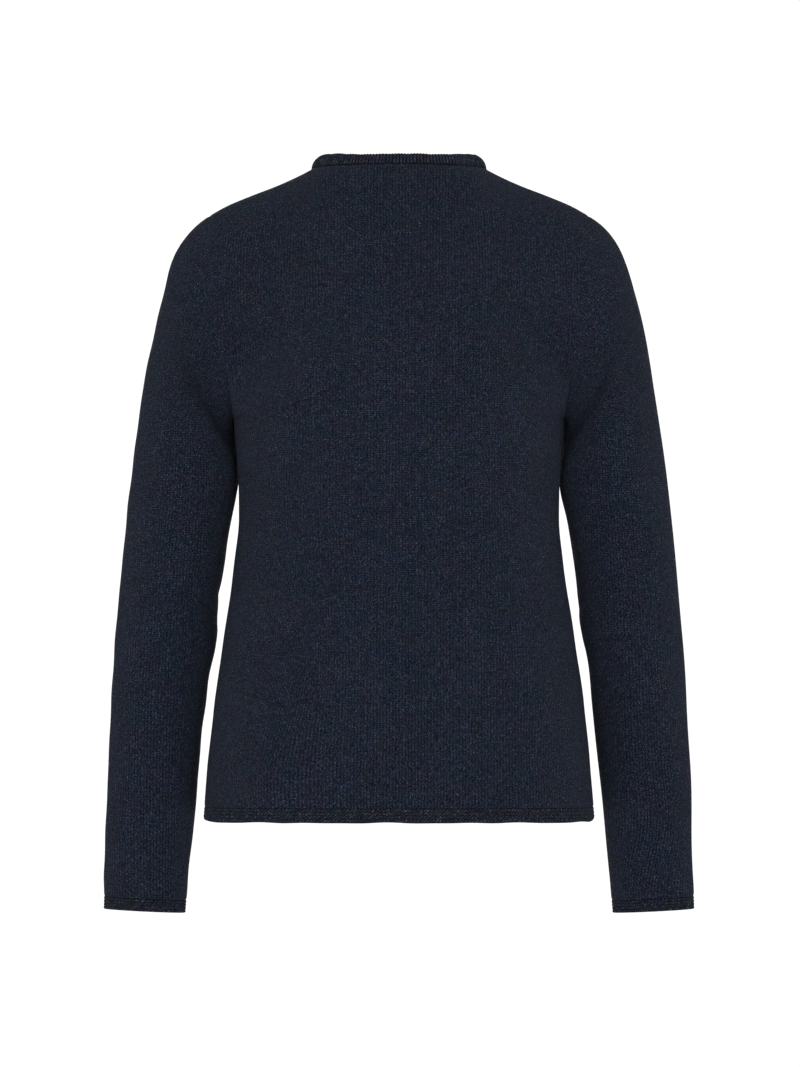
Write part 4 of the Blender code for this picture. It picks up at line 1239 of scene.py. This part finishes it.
def knit_material(name, pattern, tint=WHITE, relief=1.0):
    """Melange wool: each stitch leg has its own lightness, over soft patches of hue,
    light specks and fibres."""
    shader = Shader(name)
    u, v, _ = shader.parts("UV")
    spot = shader.coordinates.outputs["Object"]
    wobble = shader.new("ShaderNodeTexNoise", Vector=spot, Scale=WOBBLE_SCALE, Detail=1.0)
    shift = shader.new("ShaderNodeSeparateColor", Color=wobble.outputs["Color"])
    u = u + (Number(shift.outputs["Red"]) - 0.5) * WALE_WOBBLE
    v = v + (Number(shift.outputs["Green"]) - 0.5) * COURSE_WOBBLE
    # depth is the painted shade each pattern gives its stitches: lighter on their crests, darker in the
    # gaps between wales and courses.
    height, leg, depth = pattern(shader, u, v)

    fibre = shader.noise(FIBRE_SCALE, roughness=0.6)
    grain = shader.noise(GRAIN_SCALE, detail=1.0).ramp(*GRAIN_RAMP)
    tuft = shader.noise(TUFT_SCALE, detail=0.0).ramp(*TUFT_RAMP)
    yarn = shader.vector(u * STREAK_SHORTNESS, v.floor() * COURSE_STEP, 0.0)
    streak = shader.noise(1.0, yarn, detail=1.0).ramp(*TUFT_RAMP)
    light = grain * GRAIN_SHARE + tuft * TUFT_SHARE + leg * LEG_SHARE
    light = light + fibre * FIBRE_SHARE + streak * STREAK_SHARE - DARKENING

    colour = shader.mix(shader.noise(HUE_SCALE).ramp(*HUE_RAMP), YARN_TEAL, YARN_PURPLE)
    colour = shader.mix(light.ramp(*DARK_RAMP), colour, YARN_DARK)
    colour = shader.mix(light.ramp(*LIGHT_RAMP), colour, YARN_LIGHT)
    column, row = (u * SPECK_COLUMNS + SPECK_SHIFT).floor(), (v * SPECK_ROWS).floor()
    speck = shader.random(column, row, 5.0)
    colour = shader.mix(speck.ramp(*SPECK_RAMP), colour, YARN_SPECK)
    # Painted shade: the colour is multiplied by depth, the share of light each stitch would get, so the
    # gaps between stitches and the rows beside seams are darkened in the colour.
    colour = shader.mix(1.0, colour, shader.vector(depth, depth, depth), "MULTIPLY")
    patch = shader.noise(PATCH_SCALE, detail=1.0).ramp(*PATCH_RAMP)
    blue = patch * shader.noise(BLUE_SCALE).ramp(*BLUE_RAMP)
    colour = shader.mix(1.0, colour, shader.vector(patch, patch, blue), "MULTIPLY")
    if tint != WHITE:
        colour = shader.mix(1.0, colour, tint, "MULTIPLY")

    normal = shader.bump(height * relief, STITCH_HEIGHT)
    shader.dress(
        shader.surface,
        Base_Color=colour,
        Normal=shader.bump(fibre, FIBRE_HEIGHT, normal),
        Roughness=fibre.ramp(*WOOL_ROUGHNESS),
        Specular_IOR_Level=0.05,
        Sheen_Weight=SHEEN,
        Sheen_Roughness=SHEEN_ROUGHNESS,
        Sheen_Tint=SHEEN_BLUE,
    )
    return shader.material


def button_material():
    """Satin navy resin with faint swirls and fine scratches."""
    shader = Shader("button_resin")
    swirl = shader.noise(SWIRL_SCALE, detail=4.0, roughness=0.6)
    shader.dress(
        shader.surface,
        Base_Color=shader.mix(swirl.ramp(*SWIRL_RAMP), RESIN_DARK, RESIN_LIGHT),
        Roughness=shader.noise(GLOSS_SCALE, detail=3.0).ramp(*RESIN_ROUGHNESS),
        Normal=shader.bump(shader.noise(SCRATCH_SCALE), SCRATCH_DEPTH),
        Specular_IOR_Level=0.28,
    )
    return shader.material


def thread_material():
    shader = Shader("button_thread")
    twist = shader.noise(TWIST_SCALE)
    shader.dress(
        shader.surface,
        Base_Color=shader.mix(twist.ramp(*TWIST_RAMP), THREAD_DARK, THREAD_LIGHT),
        Normal=shader.bump(twist, TWIST_HEIGHT),
        Roughness=0.8,
        Specular_IOR_Level=0.2,
    )
    return shader.material


def floor_material():
    """Pale, and aglow where the camera sees it, as a lit studio's floor is."""
    shader = Shader("floor")
    seen = Number(shader.new("ShaderNodeLightPath").outputs["Is Camera Ray"])
    shader.dress(
        shader.surface,
        Base_Color=shader.mix(shader.noise(FLOOR_SCALE, detail=3.0), FLOOR_GREY, FLOOR_PALE),
        Roughness=0.9,
        Emission_Color=WHITE,
        Emission_Strength=seen * FLOOR_GLOW,
    )
    return shader.material


# ---- Making the bands ----


def neck_seam(back, left, right):
    """The neck seam's points and normals, from the left front band round the back."""
    middle = PANEL_FACES
    parts = (
        (left, np.s_[-1, : NECK_FACES + 1]),
        (back, np.s_[-1, middle - NECK_FACES : middle + NECK_FACES + 1]),
        (right, np.s_[-1, -NECK_FACES - 1 :]),
    )
    points = np.concatenate([grid.points[at][k > 0 :] for k, (grid, at) in enumerate(parts)])
    normals = np.concatenate([grid.normals[at][k > 0 :] for k, (grid, at) in enumerate(parts)])
    return points, normals


def beside_front_bands(points):
    away = (np.abs(points[:, 0]) - BAND_HALF_WIDTH) / STRAIGHTENED
    return (points[:, 1] < -FRONT_NECK_REACH) * (1 - ease(away))


def at_neck_side(points):
    """1 at the sides of the neck, and 0 at its front and back."""
    away = np.abs(points[:, 0]) - NECK_SIDE_START
    return ease(away / (NECK_HALF_WIDTH - NECK_SIDE_START))


def neckband_direction(points):
    """Unit vectors from the neck seam towards the band's top edge: inward and up, with
    no lean to the side beside the front bands."""
    along = directions(points)
    inward = turned_towards(unit(np.cross(UP, along)), (0.0, NECK_MIDDLE_Y, 0.0) - points)
    lean = NECKBAND_LEAN - NECK_SIDE_UPRIGHT * at_neck_side(points)[:, None]
    square = square_to(inward * lean + UP * np.sqrt(1 - lean**2), along)
    square[:, 0] *= 1 - beside_front_bands(points)
    return unit(square)


def scallops(along):
    shifted = along + SCALLOP_SHIFT * np.sin(2 * np.pi * along / SHIFT_LENGTH)
    uneven = 1 + SCALLOP_UNEVENNESS * np.sin(2 * np.pi * along / UNEVEN_LENGTH)
    return SCALLOP_HEIGHT * uneven * np.abs(np.sin(np.pi * shifted / SCALLOP_PITCH)) ** SCALLOP_FULLNESS


def add_neckband(seam, normals, materials):
    direction = neckband_direction(seam)
    outward = turned_towards(unit(np.cross(directions(seam), direction)), normals)
    outward[:, 0] *= 1 - beside_front_bands(seam)
    outward = unit(outward)
    seam = seam + direction * 2 * SEAM_SHIFT
    for end, way in ((0, 1), (-1, -1)):
        seam[end, 0] += way * SEAM_SHIFT
    band = Band(seam, seam + direction * NECKBAND_WIDTH, outward)
    band.resample(RIB_PITCH, RIB_STEPS)
    band.width = NECKBAND_WIDTH - SCALLOP_HEIGHT + scallops(band.along)
    band.width = band.width + NECK_SIDE_WIDENING * at_neck_side(band.start)
    band.lean = RIB_LEAN * (1 - band.along / band.along[-1])
    bulge = NECKBAND_BULGE * (1 - beside_front_bands(band.start))
    band.build(
        "neckband", NECKBAND_ROWS, rib_relief(band.pitch), COURSE, materials,
        level=lambda down: bulge * np.sin(np.pi * down / band.width),
    )


def add_moss_band(grid, materials):
    """A hem or cuff band. The grid's lower line is its free edge, the upper one its seam."""
    edge, seam = grid.points
    band = Band(seam, edge, grid.normals[1], grid.closed)
    band.resample(MOSS_STITCH, MOSS_STEPS)
    if not grid.closed:
        out = np.abs(band.end[:, 0])
        corner = np.clip(1 - (out.max() - out) / HEM_ROUNDING, 0, 1)
        band.width = band.width + hem_waves(band.along) - HEM_RISE * (1 - np.sqrt(1 - corner**2))
    row = np.mean(band.width) / MOSS_ROWS
    relief = moss_relief(band.pitch, row)
    band.build(grid.name, MOSS_ROWS * BAND_STEPS, relief, row, materials, trim=2 * SEAM_SHIFT)


def front_line(hem, panel):
    """Points up the middle of the front, from the hem's edge to the neckband's top."""
    seam = panel[-1]
    lift = neckband_direction(seam)[0]
    line = np.concatenate([hem[:1, 0], panel[:, 0], [seam[0] + lift * NECKBAND_WIDTH]])
    line[:, 0] = 0.0
    return line


def add_front_bands(line, materials):
    normals = unit(np.cross(RIGHT, directions(line)))
    for node, seam_side, width, level in (
        ("button_band", 1, 2 * BAND_HALF_WIDTH - UNDERLAP, None),
        ("buttonhole_band", -1, 2 * BAND_HALF_WIDTH, lambda down: LIFT * ease(down / TURN_UP)),
    ):
        side = np.array([seam_side, 0.0, 0.0])
        start = line + side * (BAND_HALF_WIDTH - SEAM_SHIFT)
        band = Band(start, start - side * (width - 2 * SEAM_SHIFT), normals)
        band.resample(RIB_PITCH, RIB_STEPS)
        band.build(node, FRONT_BAND_ROWS, rib_relief(band.pitch), COURSE, materials, level)


# ---- Making the buttons ----


def join_rings(mesh, rings):
    sides = range(len(rings[0]))
    return [
        mesh.faces.new((low[k - 1], low[k], high[k], high[k - 1]))
        for low, high in zip(rings, rings[1:])
        for k in sides
    ]


def add_thread(mesh, path, material):
    """A closed tube along a path of points, added to a mesh."""
    rings = []
    for point, along in zip(path, directions(path)):
        x = unit(np.cross(along, UP + THREAD_TWIST * along[[1, 2, 0]]))
        y = np.cross(along, x)
        offsets = [np.cos(a) * x + np.sin(a) * y for a in THREAD_ANGLES]
        rings.append([mesh.verts.new(point + THREAD_RADIUS * offset) for offset in offsets])
    for face in [mesh.faces.new(rings[0][::-1]), mesh.faces.new(rings[-1]), *join_rings(mesh, rings)]:
        face.material_index = material


def finished(name, mesh):
    """A mesh turned into data of its own, and freed."""
    data = bpy.data.meshes.new(name)
    mesh.to_mesh(data)
    mesh.free()
    return data


def turned_button():
    mesh = bmesh.new()
    verts = [mesh.verts.new((x * BUTTON_RADIUS, 0.0, z * BUTTON_THICKNESS)) for x, z in BUTTON_PROFILE]
    edges = [mesh.edges.new(pair) for pair in zip(verts, verts[1:])]
    bmesh.ops.spin(mesh, geom=verts + edges, cent=(0, 0, 0), axis=(0, 0, 1), angle=2 * np.pi,
                   steps=BUTTON_SIDES, use_merge=True)
    bmesh.ops.remove_doubles(mesh, verts=mesh.verts, dist=MERGE_DISTANCE)
    bmesh.ops.recalc_face_normals(mesh, faces=mesh.faces)
    return add_object("button", finished("button", mesh))


def hole_cutters():
    mesh = bmesh.new()
    for x in HOLE_PLACES:
        for y in HOLE_PLACES:
            bmesh.ops.create_cone(mesh, cap_ends=True, segments=HOLE_SIDES, radius1=HOLE_RADIUS,
                                  radius2=HOLE_RADIUS, depth=4 * BUTTON_THICKNESS,
                                  matrix=Matrix.Translation((x, y, 0)))
    return add_object("holes", finished("holes", mesh))


def drilled_button():
    body, holes = turned_button(), hole_cutters()
    body.modifiers.new("holes", "BOOLEAN").object = holes
    bpy.context.view_layer.update()
    drilled = bpy.data.meshes.new_from_object(body.evaluated_get(bpy.context.evaluated_depsgraph_get()))
    bpy.data.objects.remove(holes)
    bpy.data.objects.remove(body)
    return drilled


def button_mesh(materials):
    """A turned button with four holes, sewn on with two pairs of thread."""
    mesh = bmesh.new()
    mesh.from_mesh(drilled_button())
    for face in mesh.faces:
        face.material_index = 0
    top = THREAD_SEAT * BUTTON_THICKNESS
    share = np.linspace(0, 1, THREAD_STEPS + 1)
    rise = np.sin(np.pi * share) ** THREAD_BOW
    x = HOLE_PLACE * np.cos(np.pi * (1 - share)) * THREAD_REACH
    z = top * THREAD_START + (top * (1 - THREAD_START) + THREAD_LOOSENESS) * rise
    for y in HOLE_PLACES:
        for beside in (-THREAD_SPREAD, THREAD_SPREAD):
            path = np.stack([x, np.full_like(x, y + beside), z], axis=1)
            add_thread(mesh, path, 1)
    button = finished("button", mesh)
    button.materials.clear()
    for material in materials:
        button.materials.append(material)
    button.shade_smooth()
    button.set_sharp_from_angle(angle=np.radians(BUTTON_SHARP_ANGLE))
    return button


def button_seats(line, lift):
    """Middle and normal of each button's seat, evenly spaced down the bands."""
    lengths = lengths_along(line)
    lowest = np.interp(BOTTOM_BUTTON_Z, line[:, 2], lengths)
    for place in np.linspace(lengths[-1] - TOP_BUTTON_DROP, lowest, BUTTON_COUNT):
        beside = np.linspace(-BUTTON_RADIUS, BUTTON_RADIUS, SEAT_POINTS)
        chord = at_lengths(line, place + beside, lengths)
        normal = unit(np.cross(RIGHT, chord[-1] - chord[0]))
        middle = (chord[0] + chord[-1]) / 2
        yield middle + normal * (np.max((chord - middle) @ normal) + lift), normal


def add_buttons(line, materials, thread):
    data = button_mesh(materials)
    for number, (seat, normal) in enumerate(button_seats(line, WALL + 2 * SEAM_GAP), start=1):
        turned = np.stack([RIGHT, np.cross(normal, RIGHT), normal], axis=1)
        place = Matrix.Translation(seat.tolist()) @ Matrix(turned.tolist()).to_4x4()
        button = add_object(f"sewn_button_{number}", data.copy())
        button.data.transform(place)
        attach(button, "root")
        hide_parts(f"button_{number}")
        add_buttonhole(number, seat, turned, thread)


def add_buttonhole(number, seat, turned, material):
    """The stitched edge of a buttonhole, showing a little beyond its button."""
    mesh = bmesh.new()
    turn = np.linspace(0, 2 * np.pi, PURLS, endpoint=False)
    half = (HOLE_LENGTH - HOLE_WIDTH) / 2
    x = half * np.clip(HOLE_SQUARENESS * np.cos(turn), -1, 1) + HOLE_WIDTH * np.cos(turn) * 0.5
    path = np.stack([x, HOLE_WIDTH * np.sin(turn)], axis=1)
    along = unit(np.roll(path, -1, axis=0) - np.roll(path, 1, axis=0))
    rings = []
    for k, ((x, y), (dx, dy)) in enumerate(zip(path, along)):
        fat = THREAD_RADIUS * PURL_FATNESS[k % 2]
        ring = []
        for a in THREAD_ANGLES:
            out, up = PURL_REACH * fat * np.cos(a), fat * np.sin(a)
            spot = np.array([x + dy * out + HOLE_SHIFT, y - dx * out, up - SEAM_GAP])
            ring.append(mesh.verts.new(turned @ spot + seat))
        rings.append(ring)
    join_rings(mesh, rings + rings[:1])
    bmesh.ops.recalc_face_normals(mesh, faces=mesh.faces)
    data = finished(f"buttonhole_{number}", mesh)
    data.materials.append(material)
    data.shade_smooth()
    hole = add_object(data.name, data)
    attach(hole, "root")


# ---- The whole garment ----


def declare_panel(piece, grid):
    points = grid.wrapped(grid.points)
    width = lengths_across(points)[:, -1].max()
    declare(piece, grid.name)


def body_grids(left_half, ending=""):
    """The back and the two fronts, from what makes their left halves."""
    left = left_half(FRONT, BAND_HALF_WIDTH)
    return (
        Grid(f"back{ending}", whole_back(left_half(BACK, 0.0))),
        Grid(f"left_front{ending}", left),
        Grid(f"right_front{ending}", turned_round(mirrored(left))),
    )


def sleeve_grids():
    """The left and the right sleeve, and their cuff bands."""
    left = [rings[::-1] for rings in sleeve_rings()]
    right = [mirrored(np.roll(rings[:, ::-1], 1, axis=1)) for rings in left]
    sleeves, cuffs = [], []
    for side, way, (sleeve, cuff) in (("left", 1, left), ("right", -1, right)):
        sleeves.append(Grid(f"{side}_sleeve", sleeve, closed=True))
        sleeves[-1].angles = way * ring_angles()
        cuffs.append(Grid(f"{side}_cuff_band", cuff, closed=True))
    return sleeves, cuffs


def knit_materials():
    """Outside and inside of the panels, of the ribbed bands and of hem and cuffs."""
    return (
        [knit_material("knit", plain_knit), knit_material("knit_inside", purl_knit)],
        [
            knit_material("rib_knit", rib_knit, BAND_TINT, relief=0.5),
            knit_material("rib_inside", plain_knit, BAND_TINT, relief=0.9),
        ],
        [
            knit_material("moss_knit", moss_knit, BAND_TINT, relief=0.5),
            knit_material("moss_inside", purl_knit, BAND_TINT),
        ],
    )


def add_panels(grids, materials):
    middles = {"back": PANEL_FACES + len(SEAM_SHARES), "left_front": 0, "right_front": -1}
    random = np.random.default_rng(SEED)
    for grid in grids:
        settle_normals(grid)
        draw_back(grid)
        refine_seams(grid)
        add_relief(grid, random)
        wale, course = (SLEEVE_WALE, SLEEVE_COURSE) if grid.closed else (WALE, COURSE)
        middle = middles.get(grid.name, 0) % grid.points.shape[1]
        piece = add_panel(grid, *stitch_places(grid, middle, wale, course), materials)
        declare_panel(piece, grid)


def make_cardigan():
    knit, rib, moss = knit_materials()
    panels, hems = body_grids(half_panel), body_grids(hem_lines, "_hem_band")
    sleeves, cuffs = sleeve_grids()
    share_normals([*panels, *hems, *sleeves, *cuffs])
    for _, left, right in (panels, hems):
        square_edge(left, 0)
        square_edge(right, -1)
    seam, seam_normals = neck_seam(*panels)
    line = front_line(hems[1].points, panels[1].points)

    add_panels([*panels, *sleeves], knit)
    for grid in (*hems, *cuffs):
        add_moss_band(grid, moss)
    add_neckband(seam, seam_normals, rib)
    add_front_bands(line, rib)
    thread = thread_material()
    add_buttons(line, [button_material(), thread], thread)


# ---- Floor, light and camera ----


def add_floor():
    bpy.ops.mesh.primitive_plane_add(size=FLOOR_SIZE, location=(0, 0, FLOOR_Z))
    floor = bpy.context.object
    floor.name = "floor"
    floor.data.materials.append(floor_material())


def aim(made, target):
    direction = Vector(target) - made.location
    made.rotation_euler = direction.to_track_quat("-Z", "Y").to_euler()


def add_lights():
    world = bpy.data.worlds.new("studio")
    world.use_nodes = True
    nodes, links = world.node_tree.nodes, world.node_tree.links
    seen = nodes.new("ShaderNodeLightPath")
    strength = nodes.new("ShaderNodeMapRange")
    strength.inputs["To Min"].default_value = WORLD_LIGHT
    strength.inputs["To Max"].default_value = WORLD_SEEN
    links.new(seen.outputs["Is Camera Ray"], strength.inputs["Value"])
    nodes["Background"].inputs["Color"].default_value = WHITE
    links.new(strength.outputs["Result"], nodes["Background"].inputs["Strength"])
    bpy.context.scene.world = world
    for name, place, size, power, colour in SOFTBOXES:
        light = bpy.data.lights.new(name, "AREA")
        light.size = size
        light.energy = power
        light.color = colour
        made = add_object(name, light)
        made.location = place
        aim(made, LIGHT_TARGET)


def add_camera():
    data = bpy.data.cameras.new("camera")
    data.sensor_fit = "HORIZONTAL"
    data.sensor_width = SENSOR_WIDTH
    data.lens = SENSOR_WIDTH * CAMERA_DISTANCE / (IMAGE_WIDTH * PIXEL)
    data.clip_end = CAMERA_REACH
    x = (MIDDLE_PIXEL_X - IMAGE_WIDTH / 2) * PIXEL
    z = (SHOULDER_PIXEL_Y - IMAGE_HEIGHT / 2) * PIXEL
    camera = add_object("camera", data)
    camera.location = (x, CAMERA_DISTANCE, z - CAMERA_DROP)
    aim(camera, (x, 0.0, z))
    bpy.context.scene.camera = camera
    bpy.context.scene.view_settings.view_transform = "Standard"


make_cardigan()
add_floor()
add_lights()
add_camera()
